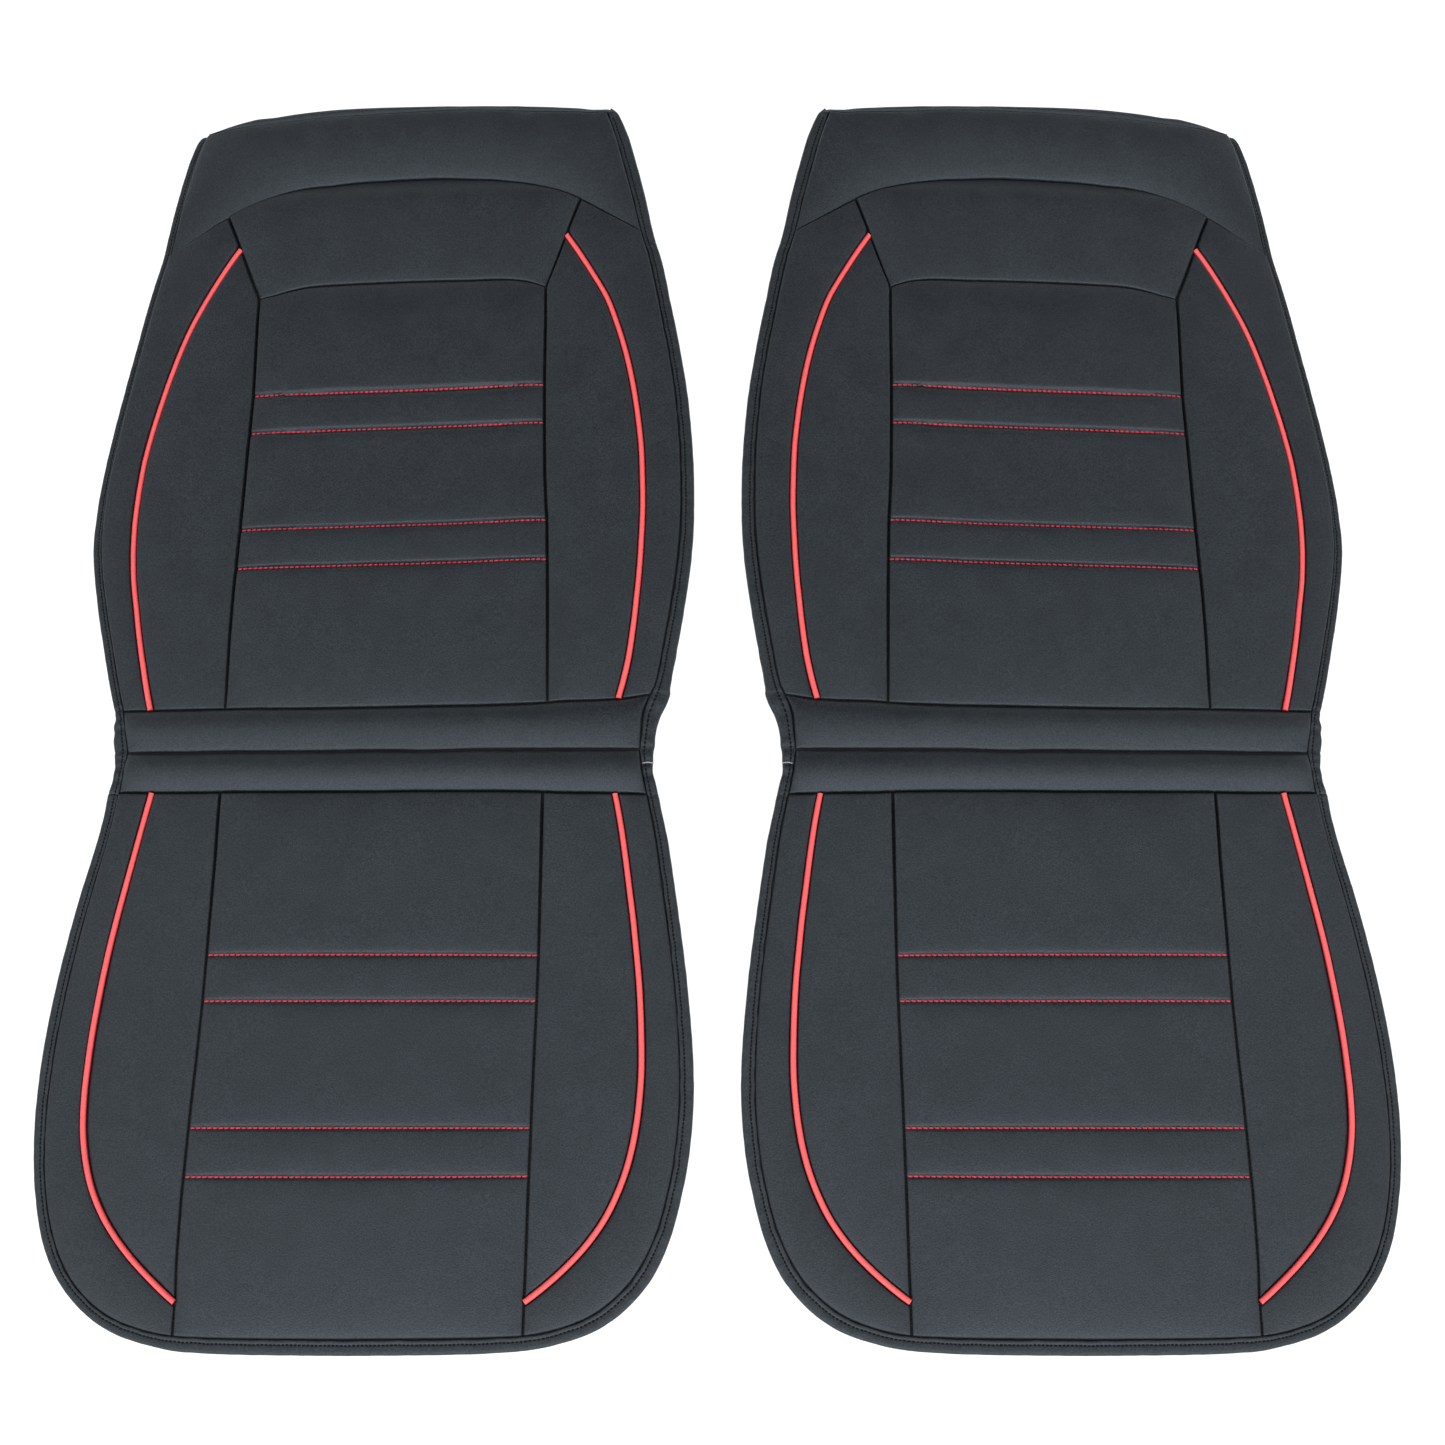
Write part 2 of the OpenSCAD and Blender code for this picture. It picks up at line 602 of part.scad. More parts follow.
module back_yoke_shape() {
    n = len(yoke_seam) - 1;
    up = even(YOKE_SIDE_STEPS);
    across = [for (i = [0:n]) (yoke_seam[i].x + yoke_side.x) / (2 * yoke_side.x)];
    panel(
        yoke_seam, back_yoke_edge,
        [for (t = across) let (x = lerp(back_corner.x, -back_corner.x, t)) [x, top_y(x, 0)]],
        flipped(mirrored(back_yoke_edge)),
        [half_seam, bound_edge, 0, bound_edge],
        across, ends_low(n), up, ends_low(YOKE_SIDE_STEPS), up, laid = true);
}

// ---- Piping ----

// Bead along a path on the face, with a level facet under it
module bead(path, hand = 1, laid = false) {
    n = len(path) - 1;
    ends = [
        path[0] + pipe_setback * (path[1] - path[0]) / norm(path[1] - path[0]),
        path[n] + pipe_setback * (path[n - 1] - path[n]) / norm(path[n - 1] - path[n]),
    ];
    line = [for (i = [0:n]) i == 0 ? ends[0] : i == n ? ends[1] : path[i]];
    function heading(i) =
        let (a = line[max(i - 1, 0)], b = line[min(i + 1, n)]) (b - a) / norm(b - a);
    function placed(p) = laid ? lay([hand * p.x, p.y]) : [hand * p.x, p.y];
    points = [for (i = [0:n]) for (k = [0:TUBE_SIDES - 1])
        let (
            a = (k + 0.5) * 360 / TUBE_SIDES,
            h = heading(i),
            p = placed(line[i] + pipe_corner_r * cos(a) * [-h.y, h.x])
        )
        [p.x, p.y, z_face + pipe_r + pipe_corner_r * sin(a)]];
    function id(i, k) = i * TUBE_SIDES + k % TUBE_SIDES;
    walls = [for (i = [0:n - 1]) for (k = [0:TUBE_SIDES - 1])
        each [[id(i, k), id(i, k + 1), id(i + 1, k + 1)], [id(i, k), id(i + 1, k + 1), id(i + 1, k)]]];
    caps = [for (k = [1:TUBE_SIDES - 2])
        each [[id(0, 0), id(0, k + 1), id(0, k)], [id(n, 0), id(n, k), id(n, k + 1)]]];
    polyhedron(points = points,
        faces = [for (f = concat(walls, caps)) hand > 0 ? f : [f[2], f[1], f[0]]]);
}

// ---- Flat layers ----

module sheet(loop, z, t, laid = false) {
    translate([0, 0, z])
        linear_extrude(t)
            polygon([for (p = loop) laid ? lay(p) : p]);
}

// Tape folded over the sides of a half: it is open at the crease, and on the
// backrest half at the top edge too
module binding(outer, inner, groove, laid) {
    difference() {
        sheet(outer, z_lining, z_face + tape_t - z_lining, laid);
        sheet(inner, 0, z_face + 2 * tape_t, laid);
        sheet(groove, z_foam, foam_t, laid);
    }
}

// Red thread of each stitched row, lying in the insert's channels
module thread_rows(rows, half_width_at, laid) {
    for (i = [0:len(rows) - 1]) {
        x = half_width_at[i] - half_seam - thread_margin;
        sheet([[-x, rows[i] - thread_w / 2], [x, rows[i] - thread_w / 2],
            [x, rows[i] + thread_w / 2], [-x, rows[i] + thread_w / 2]], z_rim, thread_h, laid);
    }
}

// Elastic band across the underside, sewn in at both sides
module strap(flank, y, laid) {
    low = half_w(flank, y - strap_w / 2) - strap_inset;
    high = half_w(flank, y + strap_w / 2) - strap_inset;
    sheet([[-low, y - strap_w / 2], [low, y - strap_w / 2],
        [high, y + strap_w / 2], [-high, y + strap_w / 2]], under_t - strap_t, strap_t, laid);
}

// ---- Seat half ----

module seat_waist_strip() color(leather) seat_strip_shape();
module seat_insert() color(leather) seat_insert_shape();
module seat_bolster_inboard() color(leather) seat_bolster_shape(1);
module seat_bolster_outboard() color(leather) seat_bolster_shape(-1);
module seat_wing_inboard() color(wing_leather) seat_wing_shape(1);
module seat_wing_outboard() color(wing_leather) seat_wing_shape(-1);

module seat_piping() color(cord_red) {
    bead(seat_pipe, 1);
    bead(seat_pipe, -1);
}

module seat_binding() color(tape)
    binding(
        drawn_in(seat_loop, edge_dists(seat_loop, 0, half_crease)),
        drawn_in(seat_loop, edge_dists(seat_loop, binding_w, -past_edge)),
        drawn_in(seat_loop, edge_dists(seat_loop, tape_t, -past_edge)), false);

module seat_foam() color(foam)
    sheet(drawn_in(seat_loop, edge_dists(seat_loop, tape_t + foam_slack, half_crease)),
        z_foam, foam_t);

module seat_lining() color(cloth)
    sheet(drawn_in(seat_loop, edge_dists(seat_loop, bound_edge, half_crease)),
        z_lining, lining_t);

module seat_stitching() color(thread_red)
    thread_rows(seat_rows, [for (y = seat_rows) seat_insert_w / 2], false);

module seat_strap() color(rubber) strap(seat_flank, -seat_strap_y, false);

// The backing is a smaller copy of the seat's outline, cut off behind the strap
backing_rear_y = -seat_strap_y - strap_w / 2 - backing_gap;
backing_share = [1 - 2 * backing_margin / seat_w, 1 - backing_margin / seat_l];
backing_flank = [for (p = seat_right) part_of(p, backing_share)];
backing_right = concat([spot(backing_flank, share_at(backing_flank, 1, backing_rear_y))],
    [for (p = backing_flank) if (p.y < backing_rear_y) p]);

module seat_backing() color(rubber)
    sheet(concat(mirrored(backing_right), [[0, backing_margin - seat_l]], flipped(backing_right)),
        0, under_t);

// ---- Backrest half ----

module back_waist_strip() color(leather) back_strip_shape();
module back_insert() color(leather) back_insert_shape();
module back_bolster_inboard() color(leather) back_bolster_shape(1);
module back_bolster_outboard() color(leather) back_bolster_shape(-1);
module back_wing_inboard() color(wing_leather) back_wing_shape(1);
module back_wing_outboard() color(wing_leather) back_wing_shape(-1);
module back_shoulder() color(leather) back_shoulder_shape();
module back_yoke() color(leather) back_yoke_shape();

module back_piping() color(cord_red) {
    bead(back_pipe, 1, true);
    bead(back_pipe, -1, true);
}

// Backrest loop with sharp corners, its sides and top drawn in by their own distances
function back_band(side_d, top_d, crease_d) =
    let (
        right = back_sharp_right,
        loop = concat(right, flipped(mirrored(right))),
        n = len(right)
    )
    drawn_in(loop, [for (i = [0:len(loop) - 1])
        i == len(loop) - 1 ? crease_d : i == n - 1 ? top_d : side_d]);

module back_binding() color(tape)
    binding(
        drawn_in(back_loop, edge_dists(back_loop, 0, half_crease)),
        back_band(binding_w, -back_top_rise - past_edge, -past_edge),
        back_band(tape_t, -back_top_rise - past_edge, -past_edge), true);

module back_foam() color(foam)
    sheet(drawn_in(back_loop, edge_dists(back_loop, tape_t + foam_slack, half_crease)),
        z_foam, foam_t, true);

module back_lining() color(cloth)
    sheet(drawn_in(back_loop, edge_dists(back_loop, bound_edge, half_crease)),
        z_lining, lining_t, true);

module back_stitching() color(thread_red)
    thread_rows(back_rows, [for (y = back_rows) lerp(back_low_x, back_top_x,
        (y - upper_strip_h) / (back_insert_y - upper_strip_h))], true);

module back_strap() color(rubber) strap(back_flank, back_strap_y, true);

// ---- Hood ----

hood_low_y = back_corner_y - hood_h;
hood_right = rounded_top(stretch(back_flank, share_at(back_flank, 1, hood_low_y),
    1 - 2 * back_corner_r / back_corner_y, even(HOOD_SIDE_STEPS)), hood_roll);
hood_loop = concat(hood_right, [[0, top_y(0, hood_roll)]], flipped(mirrored(hood_right)));

module hood_rear_panel() color(leather) sheet(hood_loop, 0, under_t, true);

module hood_hem() color(rubber) {
    high = half_w(back_flank, hood_low_y);
    low = half_w(back_flank, hood_low_y - hem_w);
    sheet([[-low, hood_low_y - hem_w], [low, hood_low_y - hem_w],
        [high, hood_low_y], [-high, hood_low_y]], 0, under_t, true);
}

module hood_rolled_band() color(leather) {
    x = back_corner.x - back_corner_r;
    sheet(concat(
        [for (p = top_edge(-x, x, 0)) p + [0, seam_gap]],
        top_edge(x, -x, hood_roll)), under_t, z_face - under_t, true);
}

// ---- Place of each cover in the pair ----

cover_pitch = max(back_w, seat_w) + cover_gap;
mid_y = (max([for (p = hood_loop) lay(p).y]) - seat_l) / 2;

module place(side) {
    mirror([side == "right_" ? 1 : 0, 0, 0])
        translate([-cover_pitch / 2, -mid_y, 0])
            children();
}

for (side = SIDES) place(side) {
    seat_waist_strip();
    seat_insert();
    seat_bolster_inboard();
    seat_bolster_outboard();
    seat_wing_inboard();
    seat_wing_outboard();
    seat_piping();
    seat_binding();
    seat_foam();
    seat_lining();
    seat_stitching();
    seat_strap();
    seat_backing();
    back_waist_strip();
    back_insert();
    back_bolster_inboard();
    back_bolster_outboard();
    back_wing_inboard();
    back_wing_outboard();
    back_shoulder();
    back_yoke();
    back_piping();
    back_binding();
    back_foam();
    back_lining();
    back_stitching();
    back_strap();
    hood_rear_panel();
    hood_rolled_band();
    hood_hem();
}
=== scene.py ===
"""Looks of the pair of padded car seat covers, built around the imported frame.

Patterns are drawn in millimetres about a cover's own centre line: x runs across the
cover towards the other one, and y runs from the waist crease up the backrest. Each
piece is made once and placed twice, as the left piece and as the mirrored right one.
"""

import math
import random

import bpy
import numpy as np
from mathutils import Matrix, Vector


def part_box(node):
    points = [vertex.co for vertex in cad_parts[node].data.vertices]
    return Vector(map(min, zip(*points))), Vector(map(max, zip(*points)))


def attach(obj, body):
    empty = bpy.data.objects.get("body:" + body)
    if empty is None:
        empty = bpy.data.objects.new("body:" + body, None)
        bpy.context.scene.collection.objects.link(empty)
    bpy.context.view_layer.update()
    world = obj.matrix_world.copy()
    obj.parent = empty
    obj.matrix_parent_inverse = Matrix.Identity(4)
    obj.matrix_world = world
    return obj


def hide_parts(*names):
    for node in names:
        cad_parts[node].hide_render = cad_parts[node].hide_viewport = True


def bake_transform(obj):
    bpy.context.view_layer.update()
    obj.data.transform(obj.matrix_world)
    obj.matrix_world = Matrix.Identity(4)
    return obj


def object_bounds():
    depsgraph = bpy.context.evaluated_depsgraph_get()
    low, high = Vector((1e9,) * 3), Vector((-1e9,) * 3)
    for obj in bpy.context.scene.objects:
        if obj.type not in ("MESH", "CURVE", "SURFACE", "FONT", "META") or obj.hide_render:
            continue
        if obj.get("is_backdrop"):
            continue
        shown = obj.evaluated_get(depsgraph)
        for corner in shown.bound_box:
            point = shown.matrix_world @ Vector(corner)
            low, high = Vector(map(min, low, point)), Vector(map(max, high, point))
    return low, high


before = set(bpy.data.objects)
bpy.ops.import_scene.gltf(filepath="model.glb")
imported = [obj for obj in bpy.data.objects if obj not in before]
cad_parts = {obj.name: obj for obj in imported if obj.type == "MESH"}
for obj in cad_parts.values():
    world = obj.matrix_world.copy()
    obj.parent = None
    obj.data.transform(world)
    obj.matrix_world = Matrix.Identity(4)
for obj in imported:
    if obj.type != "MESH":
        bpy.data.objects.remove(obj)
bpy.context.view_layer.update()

MM = 0.001

# ---- Sizes in millimetres, the same as in the construction ----

WAIST_W = 454
BACK_W = 530
BACK_WIDE_Y = 212
BACK_TOP_W = 402
BACK_CORNER_Y = 609
BACK_TOP_RISE = 15
BACK_TOP_FLATNESS = 3
BACK_FLARE = 0.24
BACK_TAPER = 0.22
SEAT_W = 529
SEAT_WIDE_Y = 284
SEAT_L = 483
FRONT_FLAT_W = 250
FRONT_FULLNESS = 0.65
SEAT_FLARE = 0.14

UPPER_STRIP_H = 38
LOWER_STRIP_H = 37
BACK_INSERT_LOW_W = 278
BACK_INSERT_TOP_W = 267
BACK_INSERT_Y = 439
SHOULDER_RISE = 11
SHOULDER_W = 328
SHOULDER_Y = 521
SHOULDER_FLATNESS = 5
YOKE_MID_Y = 556
YOKE_SIDE_Y = 489
YOKE_RUN = 0.6
SEAT_INSERT_W = 273
CREASE_GAP = 0.8

PIPE_R = 2.4
BACK_WING_LOW_W = 24
BACK_WING_W = 39.5
BACK_PIPE_WIDE_Y = 215
BACK_PIPE_END_Y = 488
SEAT_WING_TOP_W = 30
SEAT_WING_W = 38.5
SEAT_PIPE_WIDE_Y = 270
SEAT_PIPE_END_Y = 446

BINDING_W = 8
UNDER_T = 1.2
STRAP_T = 1
LINING_T = 1
FOAM_T = 4
LAYER_GAP = 0.05

ROW_PITCH = 37
BACK_ROW_PAIRS = (188, 318)
SEAT_ROW_PAIRS = (-332, -194)

HOOD_H = 150
HOOD_ROLL = 10
HEM_W = 12
STRAP_W = 25
BACK_STRAP_Y = 250
SEAT_STRAP_Y = -38
STRAP_INSET = 2
BACKING_MARGIN = 30
BACKING_GAP = 12

LAY_LEAN = math.radians(0.8)
LAY_TILT_LOW = math.radians(1.4)
LAY_TILT_TOP = math.radians(3.9)
LAY_SIDE_SHIFT = 4
TILT_GROWTH = 1.5
SIDE_PUSH_FADE = 12

# Levels of the layers
Z_LINING = UNDER_T
Z_FOAM = Z_LINING + LINING_T
Z_FACE = Z_FOAM + FOAM_T
FOLD_HALF = 12

# Where a cover lies in the row frame, read from its seat half's foam
foam_low, foam_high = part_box("left_seat_foam")
COVER_X = -(foam_low.x + foam_high.x) / 2 / MM
CREASE_Y = foam_high.y / MM + CREASE_GAP / 2

# ---- Curves ----


def point(x, y):
    return np.array([x, y], float)


def lerp(a, b, t):
    return a + (b - a) * t


def mirrored(path):
    """The path or point on the other side of the centre line, in the same order."""
    return path * [-1, 1]


def curve(a, b, c, d, n=96):
    """Cubic curve from a to d with handles b and c."""
    t = np.linspace(0, 1, n + 1)[:, None]
    s = 1 - t
    return s**3 * a + 3 * s * s * t * b + 3 * s * t * t * c + t**3 * d


def joined(*paths):
    """One path from several that follow each other, with each shared point once."""
    return np.concatenate([paths[0], *(p[1:] for p in paths[1:])])


def bowed(a, from_a, to_b, b, from_b, to_c, c):
    """Two curves from a through b to c. The handles are given from their own points."""
    return joined(curve(a, a + from_a, b + to_b, b), curve(b, b + from_b, c + to_c, c))


def chain(*paths):
    """One path through several points and paths, all of whose points are kept."""
    return np.concatenate([np.atleast_2d(p) for p in paths])


def line(a, b, n=40):
    return lerp(a, b, np.linspace(0, 1, n + 1)[:, None])


def across(end, n=40):
    """The line to a point from its mirror image on the other side."""
    return line(mirrored(end), end, n)


def reach(path):
    """Length of a path up to each of its points."""
    return np.concatenate([[0], np.cumsum(np.linalg.norm(np.diff(path, axis=0), axis=1))])


def spots(path, shares):
    """Points of a path at shares of its length."""
    sums = reach(path)
    goals = np.asarray(shares, float) * sums[-1]
    return np.column_stack([np.interp(goals, sums, path[:, k]) for k in range(path.shape[1])])


def crossing(path, a, b):
    """Share of a path's length where it first crosses the line through a and b."""
    side = (path[:, 0] - a[0]) * (b[1] - a[1]) - (path[:, 1] - a[1]) * (b[0] - a[0])
    i = int(np.nonzero(side[:-1] * side[1:] <= 0)[0][0])
    sums = reach(path)
    t = side[i] / (side[i] - side[i + 1])
    return lerp(sums[i], sums[i + 1], t) / sums[-1]


def part(path, a, b, n=120):
    """The stretch of a path between the shares a and b."""
    return spots(path, np.linspace(a, b, n + 1))


def headings(path):
    along = np.gradient(path[:, :2], axis=0)
    return along / np.linalg.norm(along, axis=1)[:, None]


def offset(path, distance):
    """A path moved to its left by a distance."""
    h = headings(path)
    return path + distance * np.column_stack([-h[:, 1], h[:, 0]])


def distance_to(path, p):
    """Distance of each point of p from a path."""
    a = path[:-1][None]
    run = (path[1:] - path[:-1])[None]
    t = ((p[:, None] - a) * run).sum(2) / np.maximum((run * run).sum(2), 1e-12)
    near = a + np.clip(t, 0, 1)[..., None] * run
    return np.linalg.norm(p[:, None] - near, axis=2).min(1)


# ---- Outline of the right half, from the top corner down to the front edge ----

waist_side = point(WAIST_W / 2, 0)
back_wide = point(BACK_W / 2, BACK_WIDE_Y)
back_corner = point(BACK_TOP_W / 2, BACK_CORNER_Y)
upper_rise = BACK_CORNER_Y - BACK_WIDE_Y
back_flank = bowed(
    waist_side, [BACK_FLARE * BACK_WIDE_Y / 3, BACK_WIDE_Y / 3],
    [0, -BACK_WIDE_Y / 3], back_wide, [0, upper_rise / 3],
    [BACK_TAPER * upper_rise / 3, -upper_rise / 3], back_corner,
)
seat_wide = point(SEAT_W / 2, -SEAT_WIDE_Y)
front_end = point(FRONT_FLAT_W / 2, -SEAT_L)
seat_flank = joined(
    bowed(
        waist_side, [SEAT_FLARE * SEAT_WIDE_Y / 3, -SEAT_WIDE_Y / 3],
        [0, SEAT_WIDE_Y / 3], seat_wide, [0, -FRONT_FULLNESS * (SEAT_L - SEAT_WIDE_Y)],
        [FRONT_FULLNESS * (SEAT_W - FRONT_FLAT_W) / 2, 0], front_end,
    ),
    line(front_end, point(0, -SEAT_L)),
)
outline = joined(back_flank[::-1], seat_flank)


def half_w(y):
    """Half width of the backrest half at height y."""
    return np.interp(y, back_flank[:, 1], back_flank[:, 0])


def top_y(x, roll=0.0):
    """Height of the yoke's top edge, or with roll, of the hood that stands past it."""
    share = np.abs(2 * x / BACK_TOP_W) ** BACK_TOP_FLATNESS
    return BACK_CORNER_Y + (BACK_TOP_RISE + roll) * (1 - share)


def eased(table, blur):
    """Smooth function of one number through a short table of given values."""
    at, values = zip(*table)
    xs = np.arange(at[0] - 2 * blur, at[-1] + 2 * blur + 1.0)
    kernel = np.hanning(2 * blur + 1)
    ys = np.convolve(np.pad(np.interp(xs, at, values), blur, mode="edge"),
                     kernel / kernel.sum(), "valid")
    return lambda v: np.interp(v, xs, ys)


# How far seams and edges of the soft cover lie off the smooth pattern, in millimetres:
# outwards along both sides and at the waist, forwards along the front, up along the top
outboard_edge = eased(
    [(-480, -1.4), (-459, 1.2), (-430, 3.4), (-407, 3.4), (-369, 1.8), (-330, 1.1), (-211, 0.1),
     (-129, -0.7), (-80, -2.6), (-60, -2.3), (-43, -0.9), (60, 1.1), (106, 1.4), (143, 2.7),
     (191, 5.2), (239, 3.4), (289, 0.2), (339, -2.2), (389, -2.9), (441, -1.6), (494, 0.9),
     (547, 4.0), (579, 4.8), (597, 3.7), (609, 0.9), (630, -0.4)], 9)
inboard_edge = eased(
    [(-480, -1.0), (-459, 2.0), (-430, 3.3), (-407, 2.3), (-369, 0.8), (-291, 2.0), (-211, 1.6),
     (-129, 2.8), (-80, 4.1), (-43, 2.4), (-17, 0.3), (66, 0.8), (93, -0.5), (129, -1.3),
     (175, -1.6), (222, -1.2), (270, -0.1), (330, 0.8), (418, 0.5), (470, 1.8), (522, 0.9),
     (555, 0.0), (580, -0.7), (597, -2.5), (609, -4.8), (630, -6.2)], 9)
outboard_waist = eased(
    [(-38, 0.0), (-30, -0.7), (-22, -1.1), (-9, 0.8), (0, 3.2), (11, 3.4), (21, 2.5), (32, -0.6),
     (42, -0.1), (50, 0.0)], 3)
inboard_waist = eased(
    [(-50, 0.0), (-34, 0.8), (-26, 0.7), (-20, 0.1), (-8, 1.7), (0, 3.8), (8, 1.6), (17, 0.1),
     (25, 0.0), (31, 2.7), (39, 3.1), (48, 1.6), (62, 0.0)], 3)
front_edge_push = eased(
    [(0, 2.8), (70, 2.2), (100, 1.5), (117, 0.6), (132, -0.3), (155, -1.3), (170, -1.6),
     (180, -0.9), (195, -0.2)], 6)
top_seam_push = eased(
    [(-210, 4.2), (-198, 1.8), (-188, -0.5), (-170, -1.6), (-130, -3.3), (-40, -3.0), (40, -3.0),
     (75, -4.5), (110, -6.3), (145, -5.8), (173, -3.4), (190, 1.2), (205, 3.6)], 6)
WAIST_FADE = 34

# To the right along the insert's sides and along the piping, outboard (-1) and inboard (1)
insert_shift = {
    -1: eased(
        [(-470, -2.7), (-438, -2.9), (-420, -3.9), (-402, -4.2), (-366, -4.4), (-330, -3.6),
         (-291, -2.7), (-254, -1.3), (-215, -0.4), (-156, 0.1), (-95, 0.9), (-54, 0.6), (0, 1.0),
         (56, 1.4), (100, 0.8), (144, 0.9), (190, 1.9), (236, 3.0), (282, 3.5), (330, 4.5),
         (354, 4.2), (403, 3.0), (439, 2.0), (470, 0.8), (521, -1.0), (560, 0.0), (620, 0.0)], 9),
    1: eased(
        [(-470, -2.6), (-420, -2.0), (-366, -1.7), (-329, -1.2), (-290, -0.7), (-250, 0.0),
         (-215, 0.7), (-175, 1.1), (-95, 1.0), (0, 0.6), (50, 0.4), (115, 0.7), (160, 0.6),
         (204, 0.2), (227, -0.9), (250, -1.8), (296, -2.1), (343, -2.1), (391, -1.3), (439, -1.0),
         (488, -0.5), (521, 0.0), (620, 0.0)], 9),
}
pipe_shift = {
    -1: eased(
        [(-446, -2.6), (-429, -1.5), (-407, -2.5), (-384, -3.6), (-361, -3.5), (-338, -2.6),
         (-315, -1.7), (-292, -0.3), (-268, 0.7), (-220, 1.0), (-171, 1.1), (-146, 1.5),
         (-121, 2.1), (-95, 2.5), (-70, 2.8), (-43, 3.1), (0, 2.2), (38, 1.0), (77, 1.3),
         (104, 0.8), (132, 0.0), (160, -2.2), (188, -3.2), (216, -3.4), (245, -2.6), (274, -1.8),
         (303, 0.2), (333, 2.1), (363, 3.2), (395, 3.6), (425, 3.7), (450, 2.5), (488, 0.3),
         (521, -1.0), (560, 0.0), (620, 0.0)], 9),
    1: eased(
        [(-446, -2.2), (-429, -1.5), (-407, -0.4), (-384, -0.3), (-361, -1.5), (-338, -2.2),
         (-315, -2.8), (-292, -2.9), (-268, -2.3), (-244, -1.9), (-220, -1.1), (-195, -0.3),
         (-171, 0.0), (-146, 0.7), (-121, 1.0), (-95, 1.6), (-70, 2.0), (-43, 1.7), (0, -0.8),
         (38, -3.3), (77, -3.4), (104, -4.5), (132, -5.4), (160, -5.4), (188, -5.2), (216, -4.4),
         (245, -4.1), (274, -3.3), (303, -3.2), (333, -2.7), (363, -2.2), (395, -1.8), (425, -0.5),
         (450, -1.0), (488, -1.3), (521, 0.0), (620, 0.0)], 9),
}

# Up along the seams that cross the cover, by place across it, and along the stitched rows
yoke_rise = eased(
    [(-230, -12.0), (-206, -8.0), (-190, -5.2), (-173, -1.1), (-157, 1.3), (-141, 2.3),
     (-124, 3.0), (-108, 3.1), (-91, 2.2), (-74, 0.1), (-57, -0.5), (-41, -1.1), (-24, -2.2),
     (10, -2.3), (27, -1.8), (61, -1.7), (78, -0.5), (95, 0.1), (112, 1.0), (129, 1.7),
     (146, 2.8), (163, 2.3), (180, -0.4), (197, -3.0), (214, -6.2), (235, -9.5)], 6)
shoulder_rise = eased(
    [(-215, 0.0), (-190, -3.0), (-160, -4.5), (-133, -5.5), (-119, -6.6), (-103, -5.1),
     (-86, -3.8), (-53, -4.2), (0, -4.1), (30, -4.4), (64, -5.3), (80, -4.6), (97, -3.9),
     (114, -3.5), (130, -4.9), (160, -4.5), (190, -3.0), (215, 0.0)], 6)
upper_rise_at = eased(
    [(-230, 1.2), (-170, 1.2), (-110, 0.9), (-80, 0.1), (-40, -0.3), (90, -0.7), (120, -0.3),
     (136, 0.2), (152, 1.3), (185, 1.4), (200, 2.0), (212, 3.0), (225, 5.5)], 5)
crease_rise = eased(
    [(-230, -3.4), (-170, -3.0), (-140, -2.2), (-80, -2.0), (-47, -1.7), (-20, -1.1),
     (15, -1.0), (29, -1.5), (60, -0.7), (75, 0.0), (230, 0.3)], 6)
lower_rise_at = eased(
    [(-230, -1.2), (-152, -1.1), (-130, -0.4), (0, -0.2), (30, 0.4), (100, 0.4), (130, 0.0),
     (153, -0.9), (184, -1.1), (214, -1.9), (230, -2.4)], 6)
row_rise = eased(
    [(-380, 0.0), (-351, -1.0), (-331, -0.4), (-313, 0.0), (-212, -0.2), (-190, 0.3),
     (-171, 0.8), (-150, 0.5), (-100, 0.0), (60, 0.0), (120, -1.6), (170, -2.8), (206, -3.5),
     (300, -2.8), (337, -2.6), (380, -1.5), (420, 0.0)], 6)
row_share = eased([(-140, 1.0), (20, 1.0), (60, 0.9), (100, 0.6), (125, 0.4), (260, 0.4)], 9)

# Width of the edge tape that shows, which changes as the tape rolls under
inboard_tape = eased(
    [(-483, 11.3), (-472, 11.4), (-455, 11.6), (-430, 11.5), (-400, 11.0), (-300, 10.1),
     (-100, 9.6), (-45, 9.0), (2, 9.0), (14, 10.8), (24, 12.4), (33, 10.6), (45, 9.0), (90, 9.4),
     (190, 9.5), (340, 8.6), (500, 9.2), (560, 10.4), (620, 10.4)], 5)
outboard_tape = eased(
    [(-483, 11.3), (-472, 10.4), (-455, 9.4), (-430, 9.0), (-380, 9.2), (-300, 9.5), (-211, 9.5),
     (-100, 9.4), (-45, 8.8), (0, 8.6), (40, 8.8), (100, 9.6), (190, 9.8), (250, 8.8), (390, 7.5),
     (500, 7.8), (560, 8.6), (620, 9.0)], 9)


TAPE_CLEARANCE = 0.15


def tape_width(p):
    """Width of the edge tape at points of the pattern, from the table of their side."""
    return np.where(p[:, 0] > 0, inboard_tape(p[:, 1]), outboard_tape(p[:, 1]))


def edge_gap(hand=1):
    """How far a panel's side along the tape lies in from the edge, drawn on the right half."""
    return lambda side: tape_width(side * [hand, 1]) + TAPE_CLEARANCE


seat_side = seat_flank[: np.argmin(seat_flank[:, 1]) + 1]


def side_w(y):
    """Half width of the pattern at height y, from front edge to top corner."""
    return np.where(y > 0, half_w(np.minimum(y, BACK_CORNER_Y)),
                    np.interp(-y, -seat_side[:, 1], seat_side[:, 0]))


def by_hand(x, tables, y):
    """Values at heights y from the table of the side that each x is on."""
    return np.where(x > 0, tables[1](y), tables[-1](y))


PIPE_ROOM = 3
PAST_EDGE, PAST_WAIST_EDGE = 1.1, 1.03


